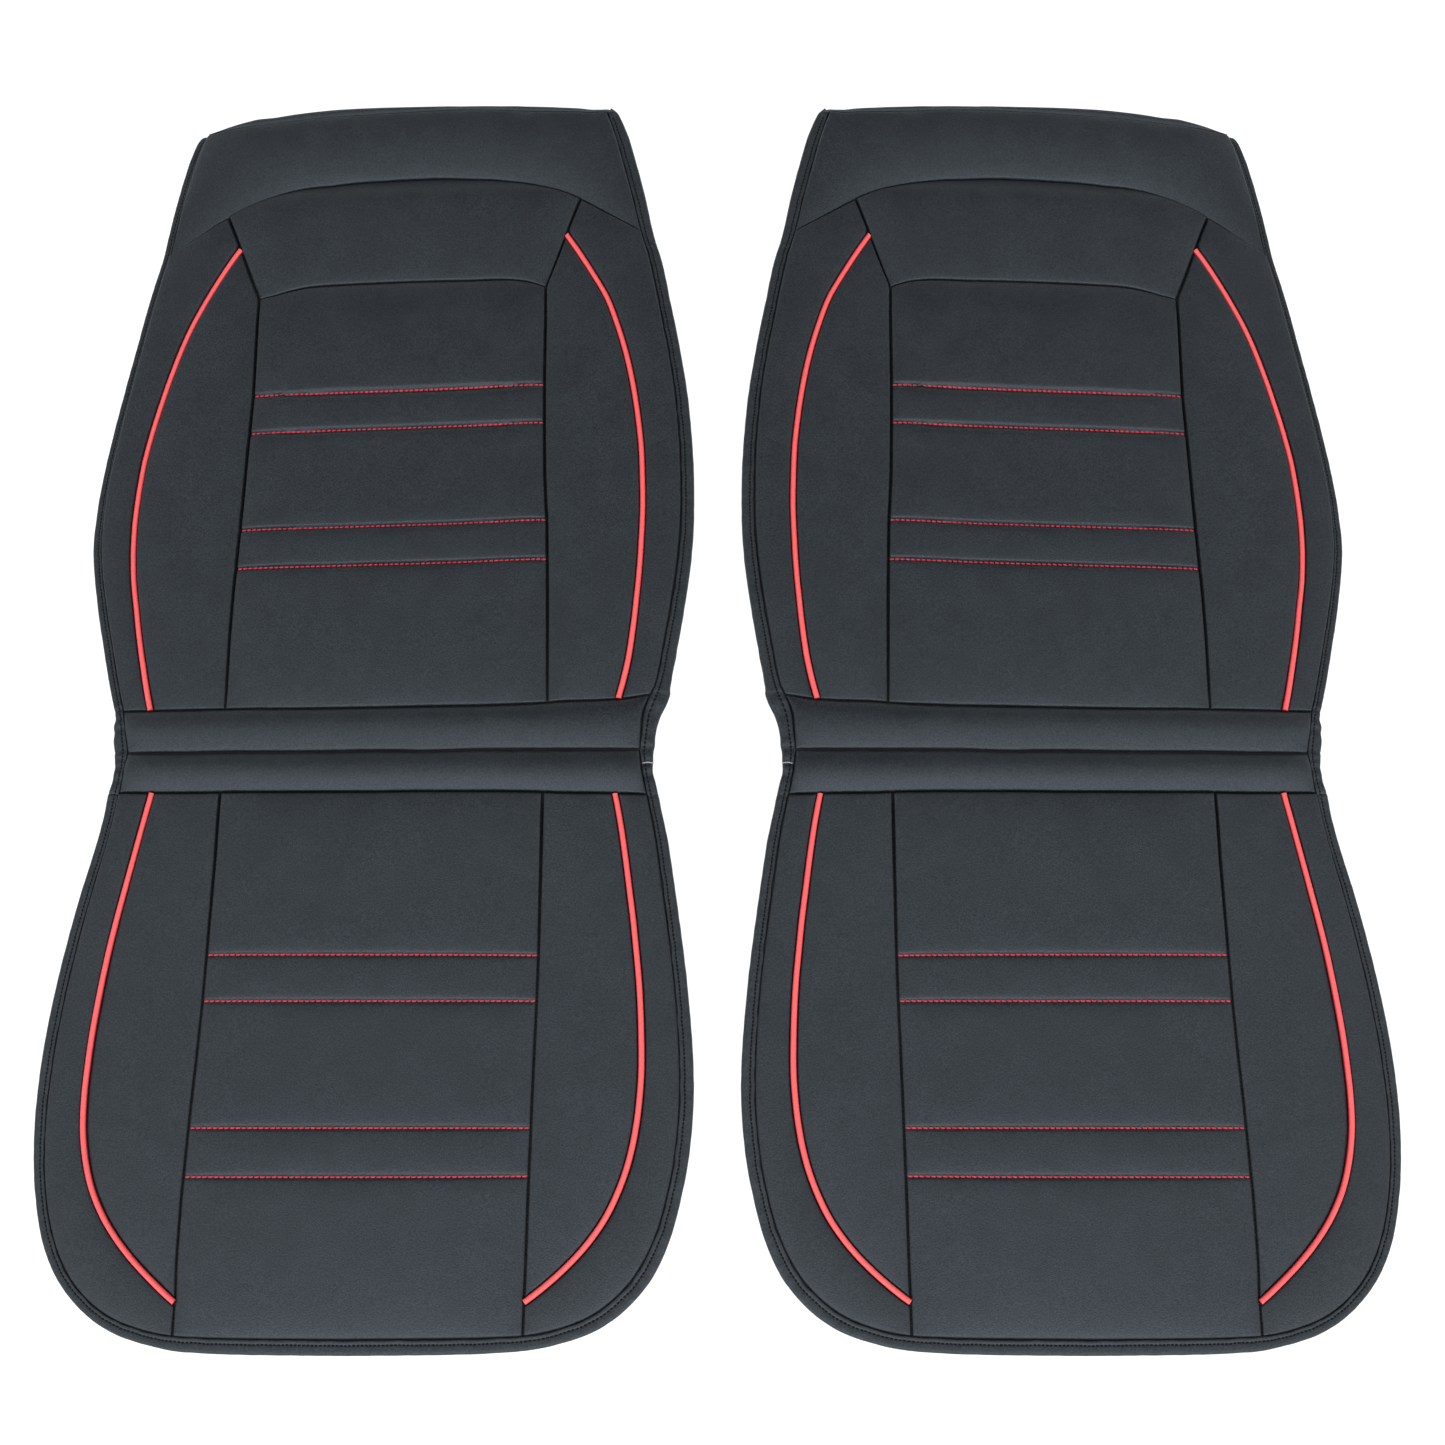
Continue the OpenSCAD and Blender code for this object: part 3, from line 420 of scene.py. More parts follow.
def shift_across(x, y):
    """How far points lie to the right of the pattern: even between one seam and the next."""
    edge, far = side_w(y), np.abs(x)
    seam = np.interp(y, *SEAM_AT)
    pipe = np.interp(y, pipe_line[:, 1], pipe_line[:, 0])
    pipe = np.clip(pipe, seam + PIPE_ROOM, edge - PIPE_ROOM)
    middle = (insert_shift[-1](y) + insert_shift[1](y)) / 2
    at_seam, at_pipe = by_hand(x, insert_shift, y), by_hand(x, pipe_shift, y)
    at_edge = np.where(x > 0, inboard_edge(y), -outboard_edge(y))
    shift = np.where(
        far < seam,
        lerp(middle, at_seam, far / seam),
        np.where(
            far < pipe,
            lerp(at_seam, at_pipe, (far - seam) / (pipe - seam)),
            lerp(at_pipe, at_edge, np.minimum((far - pipe) / (edge - pipe), PAST_EDGE)),
        ),
    )
    waist = np.where(x > 0, inboard_waist(y), -outboard_waist(y))
    return shift + waist * np.minimum(PAST_WAIST_EDGE, far / edge) ** WAIST_FADE


# Where the pushes of the front edge and of the yoke's top seam begin, and how they grow
FRONT_PUSH_Y, FRONT_PUSH_RUN, FRONT_PUSH_LIMIT = 423, 60, 1.05
TOP_PUSH_Y, TOP_PUSH_RUN, TOP_PUSH_GROWTH = 525, 84, 1.6

# How far along y the offset of a seam spreads
YOKE_SPREAD, SHOULDER_SPREAD, STRIP_SPREAD, CREASE_SPREAD = 28, 36, 13, 10


def rise(x, y):
    """How far points lie above the pattern."""
    far = np.abs(x)
    forwards = np.clip((-y - FRONT_PUSH_Y) / FRONT_PUSH_RUN, 0, FRONT_PUSH_LIMIT)
    up = np.clip((y - TOP_PUSH_Y) / TOP_PUSH_RUN, 0, 1)
    total = -front_edge_push(far) * forwards**2
    total += top_seam_push(x) * up**TOP_PUSH_GROWTH
    for table, level, spread in (
        (yoke_rise, np.interp(far, *YOKE_LEVEL), YOKE_SPREAD),
        (shoulder_rise, BACK_INSERT_Y + SHOULDER_RISE, SHOULDER_SPREAD),
        (upper_rise_at, UPPER_STRIP_H, STRIP_SPREAD),
        (crease_rise, 0, CREASE_SPREAD),
        (lower_rise_at, -LOWER_STRIP_H, STRIP_SPREAD),
    ):
        total += table(x) * np.exp(-(((y - level) / spread) ** 2))
    return total + row_rise(y) * row_share(x) * (1 - np.minimum(1, far / side_w(y)) ** 4)


# Half widths of the insert's seam by height, and heights of the yoke's seam across
SEAM_AT = ((-37, 38, 439, 521), (136.5, 139, 133.5, 164))
YOKE_LEVEL = ((0, 80, 120, 164, 235), (556, 549, 541, 521, 489))


def pushed(p):
    """Pattern points moved to where the soft cover really lies."""
    x, y = p[:, 0], p[:, 1]
    return np.column_stack([x + shift_across(x, y), y + rise(x, y)])


def lay(p):
    """The backrest half leans and turns a little, as it lies. The seat half stays."""
    p = pushed(p)
    x, y = p[:, 0], p[:, 1]
    up = np.maximum(y, 0)
    tilt = np.where(
        up < UPPER_STRIP_H,
        LAY_TILT_LOW * up / UPPER_STRIP_H,
        LAY_TILT_LOW
        + (LAY_TILT_TOP - LAY_TILT_LOW)
        * (np.maximum(up - UPPER_STRIP_H, 0) / BACK_CORNER_Y) ** TILT_GROWTH,
    )
    side = half_w(np.minimum(up, BACK_CORNER_Y))
    shift = (
        LAY_SIDE_SHIFT
        * np.minimum(1, up / UPPER_STRIP_H)
        * np.minimum(1.05, np.abs(x) / side) ** SIDE_PUSH_FADE
    )
    return np.column_stack([x - up * math.tan(LAY_LEAN) + shift, y + x * np.tan(tilt)])


# ---- Seams of the right half ----

# Handles of the piping's curves: slope at the foot, at the widest point, and at the end
BACK_PIPE_LEAN, BACK_PIPE_HOLD, BACK_PIPE_TURN = 0.25, 0.31, [0.8, 0.28]
SEAT_PIPE_LEAN, SEAT_PIPE_HOLD, SEAT_PIPE_TURN = 0.17, 0.43, [0.7, 0.26]

insert_foot = point(BACK_INSERT_LOW_W / 2, UPPER_STRIP_H)
insert_corner = point(BACK_INSERT_TOP_W / 2, BACK_INSERT_Y)
shoulder_end = point(SHOULDER_W / 2, SHOULDER_Y)
yoke_side = point(half_w(YOKE_SIDE_Y), YOKE_SIDE_Y)
pipe_share = (BACK_PIPE_END_Y - BACK_INSERT_Y) / (SHOULDER_Y - BACK_INSERT_Y)
back_pipe_end = lerp(insert_corner, shoulder_end, pipe_share)
back_pipe_wide = point(BACK_W / 2 - BACK_WING_W, BACK_PIPE_WIDE_Y)
back_pipe_foot = point(WAIST_W / 2 - BACK_WING_LOW_W, UPPER_STRIP_H)
span = back_pipe_end - back_pipe_wide
back_pipe = bowed(
    back_pipe_foot, point(BACK_PIPE_LEAN, 1) * (BACK_PIPE_WIDE_Y / 4),
    [0, -BACK_PIPE_WIDE_Y / 3], back_pipe_wide, [0, BACK_PIPE_HOLD * span[1]],
    -span * BACK_PIPE_TURN, back_pipe_end,
)
seat_top = point(SEAT_INSERT_W / 2, -LOWER_STRIP_H)
seat_pipe_end = point(SEAT_INSERT_W / 2, -SEAT_PIPE_END_Y)
seat_pipe_wide = point(SEAT_W / 2 - SEAT_WING_W, -SEAT_PIPE_WIDE_Y)
seat_pipe_foot = point(WAIST_W / 2 - SEAT_WING_TOP_W, -LOWER_STRIP_H)
span = seat_pipe_end - seat_pipe_wide
seat_pipe = bowed(
    seat_pipe_foot, point(SEAT_PIPE_LEAN, -1) * (SEAT_PIPE_WIDE_Y / 4),
    [0, SEAT_PIPE_WIDE_Y / 4], seat_pipe_wide, [0, SEAT_PIPE_HOLD * span[1]],
    -span * SEAT_PIPE_TURN, seat_pipe_end,
)
pipe_line = chain(seat_pipe[::-1], back_pipe)
bow = np.linspace(-1, 1, 121)
shoulder_seam = np.column_stack(
    [
        bow * BACK_INSERT_TOP_W / 2,
        BACK_INSERT_Y + SHOULDER_RISE * (1 - np.abs(bow) ** SHOULDER_FLATNESS),
    ]
)
yoke_half = curve(
    point(0, YOKE_MID_Y),
    point(SHOULDER_W / 4, YOKE_MID_Y),
    shoulder_end + YOKE_RUN * (shoulder_end - yoke_side),
    shoulder_end,
)
yoke_arch = joined(mirrored(yoke_half)[::-1], yoke_half)
back_rows = [y + s * ROW_PITCH / 2 for y in BACK_ROW_PAIRS for s in (-1, 1)]
seat_rows = [y + s * ROW_PITCH / 2 for y in SEAT_ROW_PAIRS for s in (-1, 1)]

# ---- Noise ----


WAVES_REACH = 1.6


def waves(seed, p, size, count=14):
    """Smooth random field from -1 to 1 whose bumps are about size millimetres wide."""
    dice = random.Random(seed)
    total = np.zeros(len(p))
    for _ in range(count):
        angle = dice.uniform(0, 2 * math.pi)
        pitch = size * dice.uniform(0.7, 1.7)
        phase = dice.uniform(0, 2 * math.pi)
        run = p[:, 0] * math.cos(angle) + p[:, 1] * math.sin(angle)
        total += np.sin(2 * math.pi * run / pitch + phase)
    return total / math.sqrt(count / 2) / WAVES_REACH


# ---- Meshes ----


def placed(side, points):
    """Pattern points of a cover as points of the row frame, in metres."""
    p = np.array(points, float)
    p[:, :2] = lay(p[:, :2])
    x = p[:, 0] - COVER_X if side == "left" else COVER_X - p[:, 0]
    return np.column_stack([x, p[:, 1] + CREASE_Y, p[:, 2]]) * MM


SHARP_ANGLE = math.radians(50)


def make(name, shape, material, nodes, body=None):
    """Makes a piece for both covers. body is seat, back, or None for a piece that runs across the
    crease between them, which gets no body.
    """
    made = []
    for side in ("left", "right"):
        co = placed(side, shape.points)
        loops = shape.faces if side == "left" else [f[::-1] for f in shape.faces]
        mesh = bpy.data.meshes.new(f"{side}_{name}")
        mesh.from_pydata(co.tolist(), [], loops)
        mesh.polygons.foreach_set("use_smooth", np.ones(len(mesh.polygons), bool))
        mesh.set_sharp_from_angle(angle=SHARP_ANGLE)
        rest = mesh.attributes.new("rest", "FLOAT_VECTOR", "POINT")
        rest.data.foreach_set("vector", np.asarray(shape.points, np.float32).ravel())
        if shape.marks:
            seam = mesh.attributes.new("seam", "FLOAT", "POINT")
            seam.data.foreach_set("value", np.asarray(shape.marks, np.float32))
        mesh.materials.append(material)
        piece = bpy.data.objects.new(f"{side}_{name}", mesh)
        bpy.context.scene.collection.objects.link(piece)
        if body:
            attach(piece, f"{side}_{body}")
        else:
            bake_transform(piece)
        if nodes:
            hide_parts(*(f"{side}_{n}" for n in nodes))
        made.append(piece)
    return made


class Shape:
    """Points and faces of one piece, gathered from closed parts, in pattern millimetres."""

    def __init__(self):
        self.points = []
        self.faces = []
        self.marks = []

    def add(self, points, faces, marks=()):
        start = len(self.points)
        self.points += [tuple(p) for p in points]
        self.faces += [tuple(i + start for i in f) for f in faces]
        self.marks += [float(m) for m in marks]

    def tube(self, rings, marks=None):
        """A closed tube through rings of points, which run clockwise seen from its start.
        marks gives one ring's distances from the nearest seam."""
        rings = np.asarray(rings)
        n, m = rings.shape[:2]
        faces = [
            (i * m + k, i * m + (k + 1) % m, (i + 1) % n * m + (k + 1) % m, (i + 1) % n * m + k)
            for i in range(n - 1)
            for k in range(m)
        ]
        faces.append(tuple(range(m - 1, -1, -1)))
        faces.append(tuple((n - 1) * m + k for k in range(m)))
        self.add(rings.reshape(-1, 3), faces, () if marks is None else np.tile(marks, n))

    def block(self, top, floor, marks=None):
        """A closed pad between two grids of points, rows by columns. Their sides may shrink
        to a point. marks gives each upper point's distance from the nearest seam."""
        nv, nu = top.shape[0] - 1, top.shape[1] - 1
        flat = top.reshape(-1, 3)
        keys = {}
        ids = np.zeros((nv + 1, nu + 1), int)
        for j in range(nv + 1):
            for i in range(nu + 1):
                key = tuple(np.round(top[j, i, :2], 4))
                ids[j, i] = keys.setdefault(key, j * (nu + 1) + i)
        count = len(flat)
        faces = []
        for j in range(nv):
            for i in range(nu):
                quad = (ids[j, i], ids[j, i + 1], ids[j + 1, i + 1], ids[j + 1, i])
                loop = [q for k, q in enumerate(quad) if q != quad[k - 1]]
                if len(loop) > 2:
                    faces.append(tuple(loop))
                    faces.append(tuple(q + count for q in reversed(loop)))
        rim = [*ids[0, :-1], *ids[:-1, -1], *ids[-1, :0:-1], *ids[:0:-1, 0]]
        for a, b in zip(rim, rim[1:] + rim[:1]):
            if a != b:
                faces.append((b, a, a + count, b + count))
        used = sorted({int(i) for f in faces for i in f})
        number = {old: new for new, old in enumerate(used)}
        points = np.concatenate([flat, floor.reshape(-1, 3)])[used]
        if marks is not None:
            marks = np.concatenate([marks, np.zeros(count)])[used]
        self.add(points, [tuple(number[int(i)] for i in f) for f in faces],
                 () if marks is None else marks)


# ---- Grids between four sides ----


def extended(path, by=15.0):
    a = path[0] - by * (path[1] - path[0]) / np.linalg.norm(path[1] - path[0])
    b = path[-1] + by * (path[-1] - path[-2]) / np.linalg.norm(path[-1] - path[-2])
    return np.concatenate([[a], path, [b]])


def meeting(p, q, near):
    """Shares of two paths' lengths where they cross nearest to a point."""
    a, da = p[:-1][:, None], (p[1:] - p[:-1])[:, None]
    b, db = q[:-1][None], (q[1:] - q[:-1])[None]
    cross = da[..., 0] * db[..., 1] - da[..., 1] * db[..., 0]
    cross = np.where(np.abs(cross) < 1e-12, 1e-12, cross)
    gap = b - a
    s = (gap[..., 0] * db[..., 1] - gap[..., 1] * db[..., 0]) / cross
    t = (gap[..., 0] * da[..., 1] - gap[..., 1] * da[..., 0]) / cross
    hit = (s >= -1e-9) & (s <= 1 + 1e-9) & (t >= -1e-9) & (t <= 1 + 1e-9)
    at = a + s[..., None] * da
    far = np.where(hit, np.linalg.norm(at - near, axis=2), np.inf)
    i, j = np.unravel_index(np.argmin(far), far.shape)
    rp, rq = reach(p), reach(q)
    return (
        lerp(rp[i], rp[i + 1], s[i, j]) / rp[-1],
        lerp(rq[j], rq[j + 1], t[i, j]) / rq[-1],
    )


def inset(sides, gaps):
    """Sides of an anticlockwise loop, each moved inwards by its gap and trimmed where they meet.
    A gap is a number, or a function that gives one for each point of the side."""
    moved = [extended(offset(s, g(s)[:, None] if callable(g) else g)) for s, g in zip(sides, gaps)]
    n = len(sides)
    cuts = [[0.0, 1.0] for _ in sides]
    for k in range(n):
        m = (k + 1) % n
        cuts[k][1], cuts[m][0] = meeting(moved[k], moved[m], sides[m][0])
    return [part(p, a, b, 150) for p, (a, b) in zip(moved, cuts)]


def coons(south, east, north, west, us, vs):
    """Grid of points between four sides: south and north run east, east and west run north."""
    s, n = spots(south, us), spots(north, us)
    w, e = spots(west, vs), spots(east, vs)
    u, v = us[None, :, None], vs[:, None, None]
    return (
        (1 - v) * s[None] + v * n[None] + (1 - u) * w[:, None] + u * e[:, None]
        - (1 - u) * (1 - v) * s[0] - u * (1 - v) * s[-1]
        - (1 - u) * v * n[0] - u * v * n[-1]
    )


# ---- Face panels ----

EDGE_Z = Z_FACE + 0.15
SHOULDER_H = 1.9
SHOULDER_R = 1.8
CROWN_H = 4.0
CROWN_RUN = 24
NEAR_EDGE = (0.3, 0.7, 1.2, 1.8, 2.6, 3.6, 5, 7, 10)
NEAR_ROW = (0, 0.5, 1, 1.6, 2.3, 3.2, 4.5, 6.5)
LEAST_STEP = 0.28
CROWN_PULL = 0.78
ROLL_PULL, ROLL_RUN = 0.22, 4
ROW_SINK, ROW_SINK_W = 0.6, 1.6
ROW_PULL, ROW_RUN = 0.4, 6
# Shallow unevenness of the padding: seed, size and height
UNEVENNESS = ((5, 75, 0.16), (6, 14, 0.05))


def stations(length, pitch, rows=()):
    """Shares along a side, close together near its ends and near each row."""
    marks = [d for d in NEAR_EDGE if d < length / 2]
    fixed = [row + s * d for row in rows for d in NEAR_ROW for s in (-1, 1)]
    at = sorted(
        [*marks, *(length - d for d in marks), *fixed]
        + list(np.linspace(0, length, max(2, round(length / pitch)) + 1)[1:-1])
    )
    kept = [0.0]
    for d in at:
        if d - kept[-1] > LEAST_STEP and length - d > LEAST_STEP:
            kept.append(d)
    return np.array([*kept, length]) / length


class Panel:
    """A padded face panel inside an anticlockwise loop of sides: south, east, north, west.
    A side may be a point. Rows are levels that it is sewn down along. taped are the numbers
    of the sides that lie under the edge tape, where no seam shows."""

    def __init__(self, south, east, north, west, crown=1.0, run=CROWN_RUN, rows=(), pitch=5.0,
                 bend=None, lift=None, taped=()):
        self.sides = [s for s in (south, east, north, west) if reach(s)[-1] > 1]
        self.rows, self.crown, self.run, self.bend, self.lift = rows, crown, run, bend, lift
        self.taped = taped
        north, west = north[::-1], west[::-1]
        width = max(reach(south)[-1], reach(north)[-1])
        tall = max(reach(east)[-1], reach(west)[-1])
        low = south[:, 1].mean()
        self.grid = coons(
            south, east, north, west,
            stations(width, pitch), stations(tall, pitch, [row - low for row in rows]),
        )

    def height(self, p, gaps=None):
        """Height of the panel's face at pattern points. gaps collects their distances from
        the panel's sides."""
        tuck = np.ones(len(p))
        puff = np.ones(len(p))
        for side in self.sides:
            d = distance_to(spots(side, np.linspace(0, 1, 81)), p)
            if gaps is not None:
                gaps.append(d)
            near = 1 - np.clip(d / SHOULDER_R, 0, 1)
            tuck *= np.sqrt(1 - near**2)
            puff *= 1 - CROWN_PULL * np.exp(-d / self.run) - ROLL_PULL * np.exp(-d / ROLL_RUN)
        for row in self.rows:
            d = np.abs(p[:, 1] - row)
            tuck *= 1 - ROW_SINK * np.exp(-((d / ROW_SINK_W) ** 2))
            puff *= 1 - ROW_PULL * np.exp(-d / ROW_RUN)
        z = EDGE_Z + SHOULDER_H * tuck + self.crown * CROWN_H * puff
        z += tuck * sum(height * waves(seed, p, size) for seed, size, height in UNEVENNESS)
        if self.bend is not None:
            z += tuck * self.bend(p)
        if self.lift is not None:
            z += self.lift(p)
        return z

    def add_to(self, shape, hand=1):
        flat = self.grid.reshape(-1, 2)
        p = flat * [hand, 1]
        gaps = []
        top = np.column_stack([p, self.height(flat, gaps)]).reshape(*self.grid.shape[:2], 3)
        floor = np.column_stack([p, np.full(len(p), Z_FACE)]).reshape(top.shape)
        seams = [g for k, g in enumerate(gaps) if k not in self.taped]
        marks = np.min(seams, axis=0).reshape(self.grid.shape[:2])
        if hand < 0:
            top, floor, marks = top[:, ::-1], floor[:, ::-1], marks[:, ::-1]
        shape.block(top, floor, marks.ravel())


def cut(path, low, high):
    """The stretch of a path between two heights, from low to high."""
    ends = [crossing(path, point(0, y), point(1, y)) for y in (low, high)]
    return part(path, *ends)


def side_by_x(path, a, b):
    """The stretch of a path between two places across the cover."""
    return part(path, *(crossing(path, point(x, 0), point(x, 1)) for x in (a, b)))


# ---- Materials ----


class Nodes:
    """A node tree, built up node by node."""

    def __init__(self, owner):
        owner.use_nodes = True
        self.tree = owner.node_tree

    def node(self, kind, **fields):
        n = self.tree.nodes.new(kind)
        for key, value in fields.items():
            setattr(n, key, value)
        return n

    def link(self, out, to):
        self.tree.links.new(out, to)

    def put(self, socket, value):
        if isinstance(value, bpy.types.NodeSocket):
            self.link(value, socket)
        else:
            socket.default_value = value

    def fed(self, kind, out, values, **fields):
        """An output of a new node whose inputs get their values by name or number."""
        n = self.node(kind, **fields)
        for key, value in values.items():
            self.put(n.inputs[key], value)
        return n.outputs[out]

    def maths(self, kind, *values):
        return self.fed("ShaderNodeMath", 0, dict(enumerate(values)), operation=kind)


class Paint(Nodes):
    """Nodes of one material, on the pattern's own coordinates in millimetres."""

    def __init__(self, name):
        self.material = bpy.data.materials.new(name)
        super().__init__(self.material)
        self.shader = self.tree.nodes["Principled BSDF"]
        self.place = self.node("ShaderNodeAttribute", attribute_name="rest").outputs["Vector"]

    def split(self):
        """The place's x, y and z."""
        n = self.node("ShaderNodeSeparateXYZ")
        self.link(self.place, n.inputs[0])
        return n.outputs

    def noise(self, scale, detail, rough):
        return self.fed("ShaderNodeTexNoise", "Fac", {
            "Vector": self.place, "Scale": scale, "Detail": detail, "Roughness": rough})

    def cells(self, scale):
        return self.fed("ShaderNodeTexVoronoi", "Distance", {"Vector": self.place, "Scale": scale})

    def ramp(self, fac, low, high, to_low=0.0, to_high=1.0):
        return self.fed("ShaderNodeMapRange", "Result", {
            "Value": fac, "From Min": low, "From Max": high, "To Min": to_low, "To Max": to_high},
            interpolation_type="SMOOTHSTEP")

    def mix(self, fac, a, b):
        n = self.node("ShaderNodeMix", data_type="RGBA")
        self.put(n.inputs[0], fac)
        for socket, value in ((n.inputs[6], a), (n.inputs[7], b)):
            self.put(socket, (*value, 1) if isinstance(value, tuple) else value)
        return n.outputs[2]

    def scale(self, colour, factor):
        return self.fed("ShaderNodeVectorMath", 0, {0: colour, "Scale": factor}, operation="SCALE")

    def bump(self, height, strength, distance):
        return self.fed("ShaderNodeBump", "Normal", {
            "Strength": strength, "Distance": distance, "Height": height})

    def finish(self, colour, roughness, normal, **numbers):
        for key, value in (("Base Color", colour), ("Roughness", roughness), ("Normal", normal)):
            self.put(self.shader.inputs[key], value)
        for key, value in numbers.items():
            self.shader.inputs[key.replace("_", " ")].default_value = value
        return self.material


def leather(name, dark, light, roughness, shaded_seams=True):
    """Coated leather cloth: pebbled grain, faint mottling and a slightly uneven gloss. Near a seam
    its colour is darkened as painted shade, where the leather turns down into the seam."""
    m = Paint(name)
    pebbles = m.cells(0.95)
    pores = m.noise(2.2, 3, 0.6)
    grain = m.maths("ADD", m.maths("MULTIPLY", pebbles, 0.7), m.maths("MULTIPLY", pores, 0.5))
    blotches = m.noise(0.035, 4, 0.6)
    fine = m.noise(0.75, 2, 0.55)
    colour = m.mix(m.ramp(blotches, 0.36, 0.64), dark, light)
    colour = m.scale(colour, m.ramp(fine, 0.3, 0.7, 0.3, 1.7))
    # Painted shade: the colour darkens steeply in the last millimetre before a seam
    if shaded_seams:
        seam = m.node("ShaderNodeAttribute", attribute_name="seam").outputs["Fac"]
        colour = m.scale(colour, m.ramp(seam, 0.15, 1.0, 0.12, 1.0))
    uneven = m.maths("ADD", m.maths("MULTIPLY", blotches, 0.5), m.maths("MULTIPLY", pores, 0.5))
    rough = m.ramp(uneven, 0.35, 0.65, roughness - 0.04, roughness + 0.05)
    if shaded_seams:
        rough = m.maths("ADD", rough, m.ramp(seam, 0.15, 0.8, 0.45, 0.0))
    normal = m.bump(grain, 0.4, 0.0006)
    return m.finish(colour, rough, normal, Specular_Tint=(0.755, 0.882, 1.0, 1.0))


def cord_leather(name, low, high, roughness):
    """Red leather round a cord, painted lighter on its top as a highlight and darker down its sides
    by the seam as shade.
    """
    m = Paint(name)
    # Painted highlight and shade: the colour goes from low on the cord's lower sides to high on its
    # top
    top = m.ramp(m.split()[2], Z_FACE + PIPE_R * 0.95, Z_FACE + PIPE_R * 1.8)
    colour = m.scale(m.mix(top, low, high), m.ramp(m.noise(0.5, 3, 0.6), 0.3, 0.7, 0.92, 1.08))
    grain = m.maths("ADD", m.cells(1.3), m.noise(2.5, 3, 0.6))
    return m.finish(colour, roughness, m.bump(grain, 0.35, 0.0003))


def fabric(name, dark, light, pitch, roughness=0.85, **numbers):
    """Plain woven or knitted cloth with threads about pitch millimetres apart."""
    m = Paint(name)
    across, along = (m.maths("SINE", m.maths("MULTIPLY", out, 2 * math.pi / pitch))
                     for out in m.split()[:2])
    weave = m.maths("MULTIPLY", across, along)
    colour = m.mix(m.ramp(m.noise(0.2, 4, 0.6), 0.3, 0.7), dark, light)
    return m.finish(colour, roughness, m.bump(weave, 0.4, 0.0003), **numbers)


LEATHER = ((0.0080, 0.0095, 0.0114), (0.0104, 0.0125, 0.0149))
face_leather = leather("face_leather", *LEATHER, 0.40)
wing_leather = leather("wing_leather", (0.0074, 0.0087, 0.0101), (0.0098, 0.0113, 0.0132), 0.42)
tape = leather("edge_tape", (0.0082, 0.0096, 0.0112), (0.0107, 0.0125, 0.0144), 0.44)
hood_leather = leather("hood_leather", *LEATHER, 0.42, shaded_seams=False)
# The darker red is painted shade down the cord's sides, the lighter one a painted highlight on its
# top
piping = cord_leather("piping", (0.42, 0.012, 0.016), (0.90, 0.105, 0.11), 0.36)
red_thread = fabric("red_thread", (0.46, 0.026, 0.048), (0.62, 0.05, 0.085), 0.7, 0.6)
black_thread = fabric("black_thread", (0.004, 0.0045, 0.005), (0.008, 0.009, 0.010), 0.7,
                      Specular_IOR_Level=0.12)
pale_thread = fabric("pale_thread", (0.30, 0.31, 0.32), (0.42, 0.43, 0.44), 0.7)
# The foam is near black; where it shows in the gaps between panels, its dark colour also stands in
# for the shade at the bottom of the seams
foam_paint = fabric("foam", (0.012, 0.012, 0.013), (0.018, 0.018, 0.019), 1.1)
lining_paint = fabric("lining", (0.034, 0.035, 0.037), (0.052, 0.053, 0.056), 1.6)
elastic_paint = fabric("elastic", (0.012, 0.012, 0.013), (0.020, 0.020, 0.021), 1.0)
backing_paint = fabric("anti_slip_backing", (0.018, 0.018, 0.019), (0.027, 0.027, 0.029), 1.6,
                       0.7)
dot_paint = fabric("anti_slip_dots", (0.007, 0.007, 0.008), (0.011, 0.011, 0.012), 0.6, 0.45)

# ---- Panels of both halves ----

SEAM = 0.4
BEAD = PIPE_R + 0.1
CREASE = 0.45
EDGE = BINDING_W + 0.3
SEAT_FILL, BACK_FILL, BACK_FILL_RUN = 2.6, 3.2, 55
INSERT_FALL, INSERT_FALL_FROM, INSERT_FALL_RUN = 2.6, BACK_INSERT_Y - 34, 40
LOWER_STRIP_SWELL, UPPER_STRIP_SWELL, SHOULDER_SWELL = 3.1, 2.7, 4.2


def low_point(p):
    """A side that shrinks to a point."""
    return np.array([p, p + [1e-6, 0]])


def panel_piece(node, panel, body=None, hand=1, paint=face_leather):
    """Makes a panel that stands for a node, on both covers."""
    shape = Shape()
    panel.add_to(shape, hand)
    name = node.replace("waist_strip", "waist") + "_panel"
    return make(name, shape, paint, [node], body)


def pillow(low, high, height, peak):
    """A soft swell between two levels whose crest is nearer to the upper one."""

    def rise(p):
        t = np.clip((p[:, 1] - low) / (high - low), 0, 1)
        up, down = t / peak, (1 - t) / (1 - peak)
        return height * (1 - np.cos(math.pi * np.where(t < peak, up, down))) / 2

    return rise


def barrel(low, high, height, peak):
    """A swell like a pillow's that falls ever more steeply to its upper level."""
    rounded = pillow(low, high, height, peak)

    def rise(p):
        t = np.clip((p[:, 1] - low) / (high - low), 0, 1)
        return np.where(t < peak, rounded(p), height * (1 - ((t - peak) / (1 - peak)) ** 2))

    return rise


seat_swell = pillow(-215, -LOWER_STRIP_H + 17, SEAT_FILL, 0.97)


def back_swell(p):
    """The padding is fuller away from the waist seam."""
    return BACK_FILL * (1 - np.exp(-np.maximum(p[:, 1] - UPPER_STRIP_H, 0) / BACK_FILL_RUN))


def insert_swell(p):
    """The insert's padding also falls towards the shoulder's seam."""
    share = np.clip((p[:, 1] - INSERT_FALL_FROM) / INSERT_FALL_RUN, 0, 1.2)
    return back_swell(p) - INSERT_FALL * share**2


def strip_panel(side, low_gap, high_gap, swell):
    """Padded strip across the waist. side is its right end, from low to high."""
    low, high = side[0], side[-1]
    sides = [
        across(low, 60), side, line(high, mirrored(high), 60), mirrored(side)[::-1]
    ]
    return Panel(*inset(sides, [low_gap, edge_gap(), high_gap, edge_gap()]),
                 crown=0.9, run=8, pitch=3, bend=swell, taped=(1, 3))


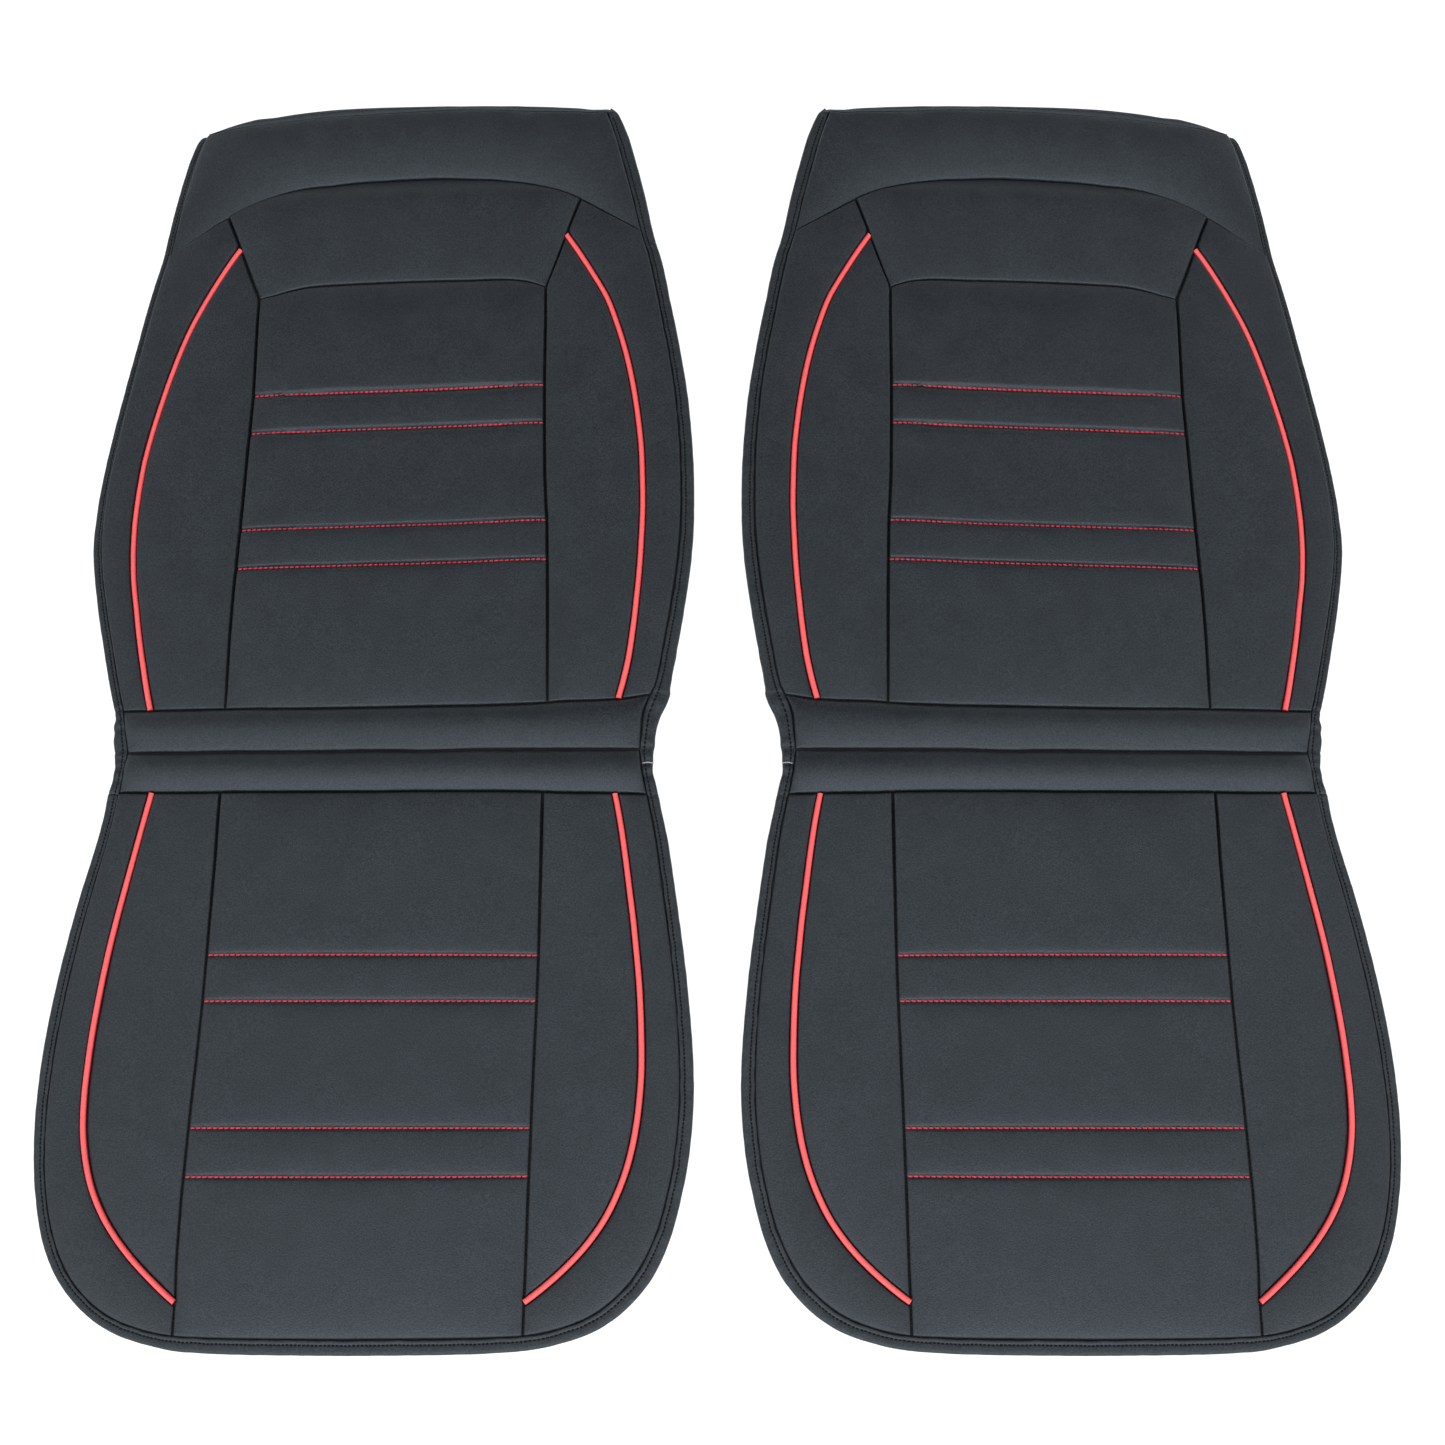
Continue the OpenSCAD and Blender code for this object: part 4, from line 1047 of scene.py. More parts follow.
# Waist strips
seat_strip_side = cut(seat_flank, 0, -LOWER_STRIP_H)[::-1]
back_strip_side = cut(back_flank, 0, UPPER_STRIP_H)
seat_strip_end, back_strip_end = seat_strip_side[0], back_strip_side[-1]
swell = barrel(-LOWER_STRIP_H, 0, LOWER_STRIP_SWELL, 0.55)
strips = panel_piece("seat_waist_strip", strip_panel(seat_strip_side, SEAM, CREASE, swell))
swell = barrel(0, UPPER_STRIP_H, UPPER_STRIP_SWELL, 0.60)
strips += panel_piece("back_waist_strip", strip_panel(back_strip_side, CREASE, SEAM, swell))

# Seat insert
front_x = SEAT_INSERT_W / 2
seat_front_share = crossing(seat_flank, point(front_x, 0), point(front_x, 1))
front_edge = part(seat_flank, 1, seat_front_share)
front_run = joined(mirrored(front_edge)[::-1], front_edge)
insert_side = line(front_edge[-1], seat_top, 80)
seat_insert = Panel(
    *inset(
        [front_run, insert_side, line(seat_top, mirrored(seat_top)), mirrored(insert_side)[::-1]],
        [edge_gap(), SEAM, SEAM, SEAM],
    ),
    rows=seat_rows, bend=seat_swell, taped=(0,),
)
padded = panel_piece("seat_insert", seat_insert, "seat")

# Seat bolsters and wings
east, north, west = inset(
    [seat_pipe[::-1], line(seat_pipe_foot, seat_top), line(seat_top, seat_pipe_end)],
    [BEAD, SEAM, SEAM],
)
bolster = Panel(low_point(east[0]), east, north, west, crown=0.95, bend=seat_swell)
wing_side = part(seat_flank, seat_front_share,
                 crossing(seat_flank, point(0, -LOWER_STRIP_H), point(1, -LOWER_STRIP_H)))
for hand, where in ((1, "inboard"), (-1, "outboard")):
    wing = Panel(
        *inset(
            [
                line(seat_pipe_end, front_edge[-1]),
                wing_side,
                line(wing_side[-1], seat_pipe_foot),
                seat_pipe,
            ],
            [SEAM, edge_gap(hand), SEAM, BEAD],
        ),
        crown=0.7, run=14, bend=seat_swell, taped=(1,),
    )
    padded += panel_piece(f"seat_bolster_{where}", bolster, "seat", hand)
    padded += panel_piece(f"seat_wing_{where}", wing, "seat", hand, wing_leather)

# Back insert
back_side = line(insert_foot, insert_corner, 80)
back_insert = Panel(
    *inset(
        [
            across(insert_foot, 60),
            back_side,
            shoulder_seam[::-1],
            mirrored(back_side)[::-1],
        ],
        [SEAM, SEAM, SEAM, SEAM],
    ),
    rows=back_rows, bend=insert_swell,
)
padded += panel_piece("back_insert", back_insert, "back")

# Back bolsters and wings
south, east, west = inset(
    [
        line(insert_foot, back_pipe_foot),
        back_pipe,
        joined(line(back_pipe_end, insert_corner, 30), line(insert_corner, insert_foot, 80)),
    ],
    [SEAM, BEAD, SEAM],
)
bolster = Panel(south, east, low_point(east[-1]), west, crown=0.95, bend=back_swell)
wing_side = cut(back_flank, UPPER_STRIP_H, YOKE_SIDE_Y)
for hand, where in ((1, "inboard"), (-1, "outboard")):
    south, east, north, slant, bead_side = inset(
        [
            line(back_pipe_foot, wing_side[0]),
            wing_side,
            line(wing_side[-1], shoulder_end),
            line(shoulder_end, back_pipe_end),
            back_pipe[::-1],
        ],
        [SEAM, edge_gap(hand), SEAM, SEAM, BEAD],
    )
    wing = Panel(south, east, north, joined(slant, bead_side), crown=0.7, run=14, bend=back_swell,
                 taped=(1,))
    padded += panel_piece(f"back_bolster_{where}", bolster, "back", hand)
    padded += panel_piece(f"back_wing_{where}", wing, "back", hand, wing_leather)

# Shoulder and yoke
slant = line(insert_corner, shoulder_end)
shoulder = Panel(
    *inset([shoulder_seam, slant, yoke_arch[::-1], mirrored(slant)[::-1]], [SEAM] * 4),
    crown=0.9, run=16, bend=pillow(BACK_INSERT_Y, YOKE_MID_Y, SHOULDER_SWELL, 0.78),
)
padded += panel_piece("back_shoulder", shoulder, "back")

yoke_edge = cut(back_flank, YOKE_SIDE_Y, BACK_CORNER_Y - 0.01)
yoke_low = joined(
    line(mirrored(yoke_side), mirrored(shoulder_end)), yoke_arch, line(shoulder_end, yoke_side)
)


HOOD_LIFT = 9.0
HOOD_LIFT_EASE = 2.4
HOOD_SIDE_LOSS, HOOD_SIDE_FADE = 0.7, 8
YOKE_TOP_GAP = 0.2


def hood_lift(p):
    """The hood's two layers lift the yoke from its lower seam towards its top edge."""
    x = np.abs(p[:, 0])
    low = np.interp(x, [*yoke_half[:, 0], BACK_W / 2], [*yoke_half[:, 1], YOKE_SIDE_Y - 15])
    t = np.clip((p[:, 1] - low) / (BACK_CORNER_Y + HOOD_ROLL - low), 0, 1)
    side = 1 - HOOD_SIDE_LOSS * np.minimum(1, x / side_w(p[:, 1])) ** HOOD_SIDE_FADE
    return HOOD_LIFT * (1 - (1 - t) ** HOOD_LIFT_EASE) * side


top_x = np.linspace(BACK_TOP_W / 2, -BACK_TOP_W / 2, 161)
top_edge = np.column_stack([top_x, top_y(top_x)])
yoke = Panel(
    *inset([yoke_low, yoke_edge, top_edge, mirrored(yoke_edge)[::-1]],
           [SEAM, edge_gap(), YOKE_TOP_GAP, edge_gap()]),
    crown=1.0, run=26, lift=hood_lift, taped=(1, 3),
)
padded += panel_piece("back_yoke", yoke, "back")

# ---- Piping ----

BEAD_SIDES = 16
BEAD_STEP = 2.5
BEAD_END = 0.3


def bead(shape, path, hand):
    """Corded bead along a seam, cut square at both ends."""
    length = reach(path)[-1]
    p = part(path, BEAD_END / length, 1 - BEAD_END / length, round(length / BEAD_STEP))
    angles = 2 * math.pi * (np.arange(BEAD_SIDES) + 0.5) / BEAD_SIDES
    rings = []
    for q, (hx, hy) in zip(p, headings(p)):
        out, up = PIPE_R * np.cos(angles), PIPE_R * np.sin(angles)
        ring = np.column_stack(
            [hand * (q[0] - hy * out), q[1] + hx * out, Z_FACE + PIPE_R + up]
        )
        rings.append(ring if hand < 0 else ring[::-1])
    shape.tube(rings)


for half, path in (("seat", seat_pipe), ("back", back_pipe)):
    shape = Shape()
    for hand in (1, -1):
        bead(shape, path, hand)
    make(f"{half}_piping_beads", shape, piping, [f"{half}_piping"], half)

# ---- Stitches ----

STITCH_PITCH = 4.6
STITCH_LENGTH = 3.9


def stitch_mids(total, pitch):
    """Places of the stitches' middles along a row, which they fill from end to end."""
    count = round(total / pitch)
    return (np.arange(count) + 0.5) * total / count


# One stitch: places along it as shares of its length, their heights and their girths
STITCH_MARKS = np.array([-0.5, -0.44, -0.3, 0, 0.3, 0.44, 0.5])
STITCH_ARCH = np.array([-0.35, -0.12, 0.1, 0.28, 0.1, -0.12, -0.35])
STITCH_GIRTH = np.array([0.35, 0.75, 0.95, 1, 0.95, 0.75, 0.35])


def stitch_row(shape, path, height, radius=0.5, pitch=STITCH_PITCH, length=STITCH_LENGTH,
               slant=0.0, sides=6, lift=0.25):
    """Separate arched stitches along a path. height gives the face under each point."""
    total = reach(path)[-1]
    mids = stitch_mids(total, pitch)
    count = len(mids)
    at = (mids[:, None] + length * STITCH_MARKS[None]).ravel()
    p = spots(path, at / total)
    h = headings(path)
    hs = np.column_stack([np.interp(at, reach(path), h[:, k]) for k in (0, 1)])
    hs /= np.linalg.norm(hs, axis=1)[:, None]
    aside = np.tile(STITCH_MARKS * length * math.tan(slant), count)
    p = p + aside[:, None] * np.column_stack([-hs[:, 1], hs[:, 0]])
    z = height(p) + lift + np.tile(STITCH_ARCH, count)
    angles = 2 * math.pi * np.arange(sides) / sides
    girth = radius * np.tile(STITCH_GIRTH, count)[:, None]
    out, up = np.cos(angles) * girth, np.sin(angles) * girth
    rings = np.stack(
        [p[:, :1] - hs[:, 1:] * out, p[:, 1:] + hs[:, :1] * out, z[:, None] + up], axis=2
    )[:, ::-1].reshape(count, len(STITCH_MARKS), sides, 3)
    for stitch in rings:
        shape.tube(stitch)


THREAD_PITCH, THREAD_LENGTH, THREAD_R = 3.25, 2.3, 0.42
THREAD_SIDES = 5
THREAD_Z = 7.35


def level_at(z):
    """A face at one level, for stitches that lie on it."""
    return lambda p: np.full(len(p), z)


def seam_stitches(shape, path, ends=2.0):
    """Black stitches that lie in a seam, from one of its ends to the other."""
    length = reach(path)[-1]
    stitch_row(shape, part(path, ends / length, 1 - ends / length, 200), level_at(THREAD_Z),
               THREAD_R, THREAD_PITCH, THREAD_LENGTH, sides=THREAD_SIDES, lift=0.0)


seat_seams = Shape()
for hand in (1, -1):
    seam_stitches(seat_seams, insert_side * [hand, 1], 9)
seam_stitches(seat_seams, across(seat_strip_end), 10)
make("seat_seam_stitches", seat_seams, black_thread, [], "seat")
back_seams = Shape()
for hand in (1, -1):
    seam_stitches(back_seams, back_side * [hand, 1])
    seam_stitches(back_seams, slant * [hand, 1])
seam_stitches(back_seams, across(back_strip_end), 10)
seam_stitches(back_seams, shoulder_seam)
seam_stitches(back_seams, yoke_low, 9)
make("back_seam_stitches", back_seams, black_thread, [], "back")


SEAT_RED_R, BACK_RED_R = 0.85, 0.95
RED_SLANT = 0.08
RED_LIFT = 0.5
RED_INSET = 1

shape = Shape()
for y in seat_rows:
    row = across(point(SEAT_INSERT_W / 2 - RED_INSET, y), 60)
    stitch_row(shape, row, seat_insert.height, SEAT_RED_R, slant=RED_SLANT)
make("seat_red_stitches", shape, red_thread, ["seat_stitching"], "seat")
shape = Shape()
for y in back_rows:
    share = (y - UPPER_STRIP_H) / (BACK_INSERT_Y - UPPER_STRIP_H)
    half = lerp(BACK_INSERT_LOW_W, BACK_INSERT_TOP_W, share) / 2
    row = across(point(half - RED_INSET, y), 60)
    stitch_row(shape, row, back_insert.height, BACK_RED_R, slant=RED_SLANT, lift=RED_LIFT)
make("back_red_stitches", shape, red_thread, ["back_stitching"], "back")

# ---- Edge binding ----

# Profile of the tape from the panels' edge over the side and back under the lining:
# share of its width in from the cover's edge, and height. Painted shade darkens its colour
# at its edges and at the groove, through the marks of the outer rings
TAPE_OUTER = [
    (1.0, 6.35), (0.985, 7.15), (0.95, 7.65), (0.88, 7.85), (0.78, 7.8), (0.72, 7.55),
    (0.68, 7.2), (0.645, 7.05), (0.61, 7.1), (0.55, 7.3), (0.45, 7.4), (0.33, 7.45),
    (0.2, 7.4), (0.1, 7.15), (0.04, 6.5), (0.01, 5.5), (0.0, 4.3), (0.02, 3.2), (0.07, 2.2),
    (0.17, 1.5), (0.3, 1.25), (0.6, 1.2), (1.0, 1.2),
]
TAPE_SHADE_MARKS = [0.1, 0.5, 1.1, 2, 2, 1.2, 0.7, 0.55, 0.65, 1, 2, 2, 2, 2, 0.8, 0.4, 0.2, 0.2, 0.5]
TAPE_INNER = [
    (1.01, 1.7), (1.0, 2.15), (0.5, 2.15), (0.28, 2.3), (0.18, 2.9), (0.16, 4.2), (0.18, 5.3),
    (0.28, 5.9), (0.5, 6.0), (0.94, 6.15),
]


TAPE_STEP = 1.65
TAPE_GROOVE = (0.645, 7.05)
CORNER_R = 10
CORNER_TURN = math.radians(66)
TIP_RUN = 7
TUCK_RUN, TUCK_DROP = 18, 2.2
FOLD_DIP = 1.1
WAIST_HALF, WAIST_EASE = 50, 12


def right_turn(path, radius, turn, run):
    """A path that goes on round an arc to its right and then straight on."""
    end, (hx, hy) = path[-1], headings(path)[-1]
    centre = end + radius * point(hy, -hx)
    spoke = end - centre
    arc = []
    for a in np.linspace(0, -turn, 13)[1:]:
        c, s = math.cos(a), math.sin(a)
        arc.append(centre + [c * spoke[0] - s * spoke[1], s * spoke[0] + c * spoke[1]])
    on = (arc[-1] - arc[-2]) / np.linalg.norm(arc[-1] - arc[-2])
    return chain(path, np.array(arc), arc[-1] + run / 2 * on, arc[-1] + run * on)


# The tape runs up to a small ear at the inner top corner, and at the outer one it turns
# in under the hood's edge
edge_path = joined(outline, mirrored(outline)[::-1])
ear = np.array([[195.0, 616.0], [197.6, 613.4], [199.8, 611.0]])
cut_back = CORNER_R * math.tan(CORNER_TURN / 2)
edge_path = part(edge_path, 0, 1 - cut_back / reach(edge_path)[-1], 1600)
edge_path = right_turn(chain(ear, edge_path), CORNER_R, CORNER_TURN, 15)
edge_length = reach(edge_path)[-1]
edge_fine = part(edge_path, 0, 1, round(edge_length / TAPE_STEP))


def tape_waves(along, size, seed):
    """Smooth random numbers from -1 to 1 along the tape, about size millimetres long."""
    return waves(seed, np.column_stack([along, np.zeros(len(along))]), size, 9)


def near_level(y, level, width):
    return np.exp(-(((y - level) / width) ** 2))


# The tape narrows at its tip, dips where a waist seam or the crease meets it, ruffles at the
# waist, and goes down where it tucks in
along = reach(edge_fine)
y_edge = edge_fine[:, 1]
waist = np.clip((WAIST_HALF - np.abs(y_edge - 1)) / WAIST_EASE, 0, 1)
folds = near_level(y_edge, -LOWER_STRIP_H, 1.0) + near_level(y_edge, 1, 1.0)
folds += np.where(edge_fine[:, 0] > 0, 0.2, 1.0) * near_level(y_edge, UPPER_STRIP_H, 1.0)
tip = np.clip(along / TIP_RUN, 0, 1)
tape_w = tape_width(edge_fine) * (0.55 + 0.45 * tip) * (1 + 0.03 * tape_waves(along, 22, 31))
tape_rise = 0.10 * tape_waves(along, 9, 32) + 0.16 * tape_waves(along, 34, 33)
tape_rise += waist * (0.3 + 0.45 * tape_waves(along, 8, 34)) - FOLD_DIP * folds
tape_rise += 0.8 * hood_lift(edge_fine)
tape_in = 0.08 * tape_waves(along, 12, 35) + waist * 0.22 * tape_waves(along, 11, 36)
tape_rise -= TUCK_DROP * (1 - np.clip((edge_length - along) / TUCK_RUN, 0, 1))


def tape_place(share, z):
    """Points along the whole tape at a share of its width in from its edge, and at a height."""
    h = headings(edge_fine)
    inner = share * tape_w + tape_in * math.exp(-3 * share)
    level = z + tape_rise * max(0.0, min(1.0, (z - 1.2) / 5))
    return np.column_stack(
        [edge_fine[:, 0] + h[:, 1] * inner, edge_fine[:, 1] - h[:, 0] * inner, level]
    )


profile = TAPE_OUTER + TAPE_INNER
rings = np.stack([tape_place(d, z) for d, z in profile], axis=1)
shape = Shape()
shape.tube(rings, marks=TAPE_SHADE_MARKS + [2] * (len(profile) - len(TAPE_SHADE_MARKS)))
make("edge_tape", shape, tape, ["seat_binding", "back_binding"])

# One pale tack across the tape, just under the crease on the inner side
TACK_FROM, TACK_TO, TACK_Y, TACK_BOW, TACK_Z = 220.4, 229.6, -12, 0.7, 7.9
tack = np.column_stack([
    np.linspace(TACK_FROM, TACK_TO, 9), TACK_Y + TACK_BOW * np.sin(np.linspace(0, math.pi, 9))
])
shape = Shape()
stitch_row(shape, tack, level_at(TACK_Z), pitch=9.2, length=9.0, lift=0.1)
make("edge_tape_tack", shape, pale_thread, [], "seat")

groove = tape_place(*TAPE_GROOVE)
groove = groove[(along > 6) & (along < edge_length - 16)]
groove_at = reach(groove[:, :2])


def groove_height(p):
    """Height of the tape's groove under stitches that follow it."""
    mids = stitch_mids(groove_at[-1], THREAD_PITCH)
    return np.repeat(np.interp(mids, groove_at, groove[:, 2]), len(p) // len(mids))


shape = Shape()
stitch_row(shape, groove[:, :2], groove_height, radius=0.6, pitch=THREAD_PITCH, length=2.5,
           sides=THREAD_SIDES, lift=0.1)
make("edge_tape_stitches", shape, black_thread, [])

# ---- Foam, lining and underside ----


def flat_sheet(side, north, us, vs, low, high):
    """Closed flat sheet between two levels. side is its right side, from low to high, and
    the left one mirrors it. north runs from left to right."""
    grid = coons(across(side[0]), side, north, mirrored(side), us, vs)
    shape = Shape()
    shape.block(*(np.dstack([grid, np.full(grid.shape[:2], z)]) for z in (high, low)))
    return shape


def cover_sheet(inset_by, low, high, pitch=8.0):
    """Sheet over a whole cover, drawn in from its edge, between two levels."""
    right = offset(outline, -inset_by)[::-1]
    right = right[right[:, 0] > FRONT_FLAT_W / 2 - 1]
    top = top_edge - [0, inset_by]
    north = chain(
        right[-1], side_by_x(top, right[-1, 0] - 6, -right[-1, 0] + 6), mirrored(right[-1])
    )[::-1]
    height = reach(right)[-1]
    crease = reach(right)[np.argmin(np.abs(right[:, 1]))]
    near = [crease + d for d in np.arange(-FOLD_HALF - 3, FOLD_HALF + 3.1, 1.5)]
    vs = np.array(sorted([*np.linspace(0, height, round(height / pitch)), *near])) / height
    us = np.linspace(0, 1, round(SEAT_W / pitch))
    return flat_sheet(right, north, us, vs, low, high)


FOAM_INSET = 1.5
foam_sheet = cover_sheet(FOAM_INSET, Z_FOAM, Z_FACE - LAYER_GAP)
foam_pieces = make("foam_sheet", foam_sheet, foam_paint, ["seat_foam", "back_foam"])
lining_sheet = cover_sheet(EDGE, Z_LINING, Z_FOAM - LAYER_GAP)
lining_pieces = make("lining_sheet", lining_sheet, lining_paint,
                     ["seat_lining", "back_lining"])


RIB_PITCH, RIB_H = 2.8, 0.3
GATHER_PITCH, GATHER_H, GATHER_WANDER = 6.5, 0.5, 1.2


BELOW_LINING = UNDER_T - LAYER_GAP


def ribs(x, dy):
    """Lengthwise ribs of woven elastic."""
    return RIB_H * np.sin(math.pi * dy / RIB_PITCH) ** 2 + 0 * x


def gathers(x, dy):
    """Small folds of cloth drawn up on an elastic."""
    wander = GATHER_WANDER * waves(51, np.column_stack([x, 0 * x]), 30)
    fold = np.sin(math.pi * (x + wander) / GATHER_PITCH)
    return GATHER_H * fold**2 * (1 - (2 * dy / HEM_W) ** 4)


def band(y, width, half_at, low, relief, columns, inset_by=0.0):
    """Elastic band across the underside, with relief on its lower face."""
    top, floor = [], []
    for dy in np.linspace(-width / 2, width / 2, 37):
        half = half_at(y + dy) - inset_by
        xs = np.linspace(-half, half, columns)
        for rows, z in ((top, BELOW_LINING), (floor, low + relief(xs, dy))):
            rows.append(np.column_stack([xs, np.full(columns, y + dy), z + 0 * xs]))
    shape = Shape()
    shape.block(np.array(top), np.array(floor))
    return shape


BOX_MARGIN, BOX_L, BOX_Z = 4, 18, 0.36


def sewn_ends(y, half_at):
    """A stitched box with a cross at each end of a strap, on the underside."""
    shape = Shape()
    rise = STRAP_W / 2 - BOX_MARGIN
    for hand in (1, -1):
        far = half_at(y) - STRAP_INSET - BOX_MARGIN
        a, b = hand * far, hand * (far - BOX_L)
        corners = [point(a, y - rise), point(b, y - rise), point(b, y + rise), point(a, y + rise)]
        for p, q in (*zip(corners, corners[1:] + corners[:1]), corners[::2], corners[1::2]):
            stitch_row(shape, line(p, q), level_at(0.0), radius=0.4, pitch=2.6, length=2.1,
                       lift=0.0, sides=THREAD_SIDES)
    # They lie upside down and half sunk
    shape.points = [(x, y, BOX_Z - z / 2) for x, y, z in shape.points]
    shape.faces = [f[::-1] for f in shape.faces]
    return shape


for half, y, half_at in (("seat", SEAT_STRAP_Y, side_w), ("back", BACK_STRAP_Y, half_w)):
    strap = band(y, STRAP_W, half_at, UNDER_T - STRAP_T, ribs, 121, STRAP_INSET)
    make(f"{half}_strap_band", strap, elastic_paint, [f"{half}_strap"], half)
    make(f"{half}_strap_stitches", sewn_ends(y, half_at), pale_thread, [], half)
HOOD_LOW_Y = BACK_CORNER_Y - HOOD_H
hem = band(HOOD_LOW_Y - HEM_W / 2, HEM_W, half_w, LAYER_GAP, gathers, 601)
make("hood_hem_band", hem, elastic_paint, ["hood_hem"], "back")

DOT_BASE = 0.5
DOT_PITCH = 9.5
DOT_RINGS = ((1.9, DOT_BASE + 0.1), (1.8, 0.3), (1.1, 0.04))
DOT_SIDES = 8

# Anti-slip backing: a smaller copy of the seat's outline, cut off behind the strap
backing_rear = SEAT_STRAP_Y - STRAP_W / 2 - BACKING_GAP
share = np.array([1 - 2 * BACKING_MARGIN / SEAT_W, 1 - BACKING_MARGIN / SEAT_L])
backing_side = cut(seat_flank * share, backing_rear, -SEAT_L * share[1] + 0.01)[::-1]
backing_side = backing_side[backing_side[:, 0] > 20]
shape = flat_sheet(
    backing_side, across(backing_side[-1]), np.linspace(0, 1, 61), np.linspace(0, 1, 61),
    DOT_BASE, BELOW_LINING,
)
backing = make("anti_slip_sheet", shape, backing_paint, ["seat_backing"],
               "seat")

# Its rubber dots
shape = Shape()
turn = np.linspace(0, 2 * math.pi, DOT_SIDES + 1)[:-1]
dot_rows = np.arange(backing_side[0, 1] + 7, backing_side[-1, 1] - 5, DOT_PITCH * 0.866)
for j, y in enumerate(dot_rows):
    half = np.interp(y, backing_side[:, 1], backing_side[:, 0]) - 5
    xs = np.arange(-half, half, DOT_PITCH) + DOT_PITCH / 2 * (j % 2)
    for x in xs[xs < half]:
        shape.tube([
            np.column_stack([x + r * np.cos(turn), y + r * np.sin(turn), np.full(DOT_SIDES, z)])
            for r, z in DOT_RINGS
        ])
make("anti_slip_dots", shape, dot_paint, [], "seat")

# ---- Hood ----

hood_side = cut(back_flank, HOOD_LOW_Y, BACK_CORNER_Y - 0.01)
roll_more = eased(
    [(-201, -2.6), (-190, -1.6), (-181, -1.4), (-172, 0.0), (-160, 0.8), (-143, 1.9), (-125, 0.1),
     (-106, 0.1), (-70, -0.3), (-20, -2.1), (28, -4.3), (49, -5.1), (66, -4.6), (88, -3.8),
     (104, -2.4), (123, -1.9), (143, -0.8), (162, 0.0), (176, 0.2), (184, 0.6), (191, 1.9),
     (198, 1.0)], 3)


def roll_y(x):
    """Height of the hood's own edge, past the yoke."""
    return top_y(x, HOOD_ROLL) + roll_more(x)


roll_edge = np.column_stack([top_x, roll_y(top_x)])
shape = flat_sheet(
    hood_side, chain(hood_side[-1], roll_edge[1:-1], mirrored(hood_side[-1]))[::-1],
    np.linspace(0, 1, 81), np.linspace(0, 1, 31), LAYER_GAP, BELOW_LINING,
)
hood = make("hood_rear_sheet", shape, hood_leather, ["hood_rear_panel"], "back")

# Rolled band that stands past the yoke
shape = Shape()
band_x = np.linspace(-BACK_TOP_W / 2 + 11, BACK_TOP_W / 2 - 5, 161)
ROLL = [(0.0, 5.6), (0.06, 6.3), (0.18, 6.9), (0.4, 7.5), (0.56, 7.8), (0.64, 7.5), (0.68, 6.7),
        (0.73, 7.0), (0.82, 6.9), (0.92, 6.0), (1.0, 4.2), (0.98, 2.4), (0.85, 1.3), (0.0, 1.3)]
lifts = hood_lift(np.column_stack([band_x, top_y(band_x)]))
rings = []
for x, lift in zip(band_x, lifts):
    low, high = top_y(x), roll_y(x)
    rings.append([(x, lerp(low, high, s) + 0.3, z + lift * min(1, (z - 1.3) / 4)) for s, z in ROLL])
shape.tube(rings)
make("hood_roll", shape, hood_leather, ["hood_rolled_band"], "back")

# ---- Camera, floor and light ----

CAMERA_RISE = math.radians(75)
CAMERA_AT = 1386.0
TARGET = (4.12, -53.05, 6.5)
FOCAL_PX, FRAME_PX, SENSOR_W = 1613.59, 1445, 36
camera_data = bpy.data.cameras.new("camera")
camera_data.lens = FOCAL_PX / FRAME_PX * SENSOR_W
camera_data.sensor_width = SENSOR_W
camera_data.clip_end = 50
camera = bpy.data.objects.new("camera", camera_data)
bpy.context.scene.collection.objects.link(camera)
camera.location = Vector(
    (
        TARGET[0],
        TARGET[1] - CAMERA_AT * math.cos(CAMERA_RISE),
        TARGET[2] + CAMERA_AT * math.sin(CAMERA_RISE),
    )
) * MM
camera.rotation_euler = (math.pi / 2 - CAMERA_RISE, 0, 0)
bpy.context.scene.camera = camera

FLOOR_R = 6.0
WALL_R = 8.0
WALL_H = 3.0
FLOOR_DROP = 0.0005
FLOOR_COLOUR = (0.8, 0.8, 0.8, 1)
FLOOR_GLOW, FLOOR_GLOW_SHARE = 1.4, 0.6
turns = np.linspace(0, 2 * math.pi, 97)[:-1]
bowl = [(FLOOR_R * 0.5, 0.0)]
for k in range(13):
    a = math.pi / 2 * k / 12
    bowl.append((FLOOR_R + (WALL_R - FLOOR_R) * math.sin(a), WALL_H * (1 - math.cos(a))))
points = [(r * math.cos(t), r * math.sin(t), z) for r, z in bowl for t in turns]
count = len(turns)
faces = [
    (k * count + i, k * count + (i + 1) % count,
     (k + 1) * count + (i + 1) % count, (k + 1) * count + i)
    for k in range(len(bowl) - 1)
    for i in range(count)
]
faces.append(tuple(range(count)))
floor_mesh = bpy.data.meshes.new("floor")
floor_mesh.from_pydata(points, [], [f[::-1] if len(f) == 4 else f for f in faces])
floor = bpy.data.objects.new("floor", floor_mesh)
floor.location.z = -FLOOR_DROP
bpy.context.scene.collection.objects.link(floor)
floor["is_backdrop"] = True

# Rays that the camera sees, straight, mirrored or through glass, see part of the floor glow
floor_paint = bpy.data.materials.new("floor")
nodes = Nodes(floor_paint)
nodes.tree.nodes.remove(nodes.tree.nodes["Principled BSDF"])
rays = nodes.node("ShaderNodeLightPath").outputs
seen = rays["Is Camera Ray"]
for name in ("Is Glossy Ray", "Is Transmission Ray"):
    seen = nodes.maths("MAXIMUM", seen, rays[name])
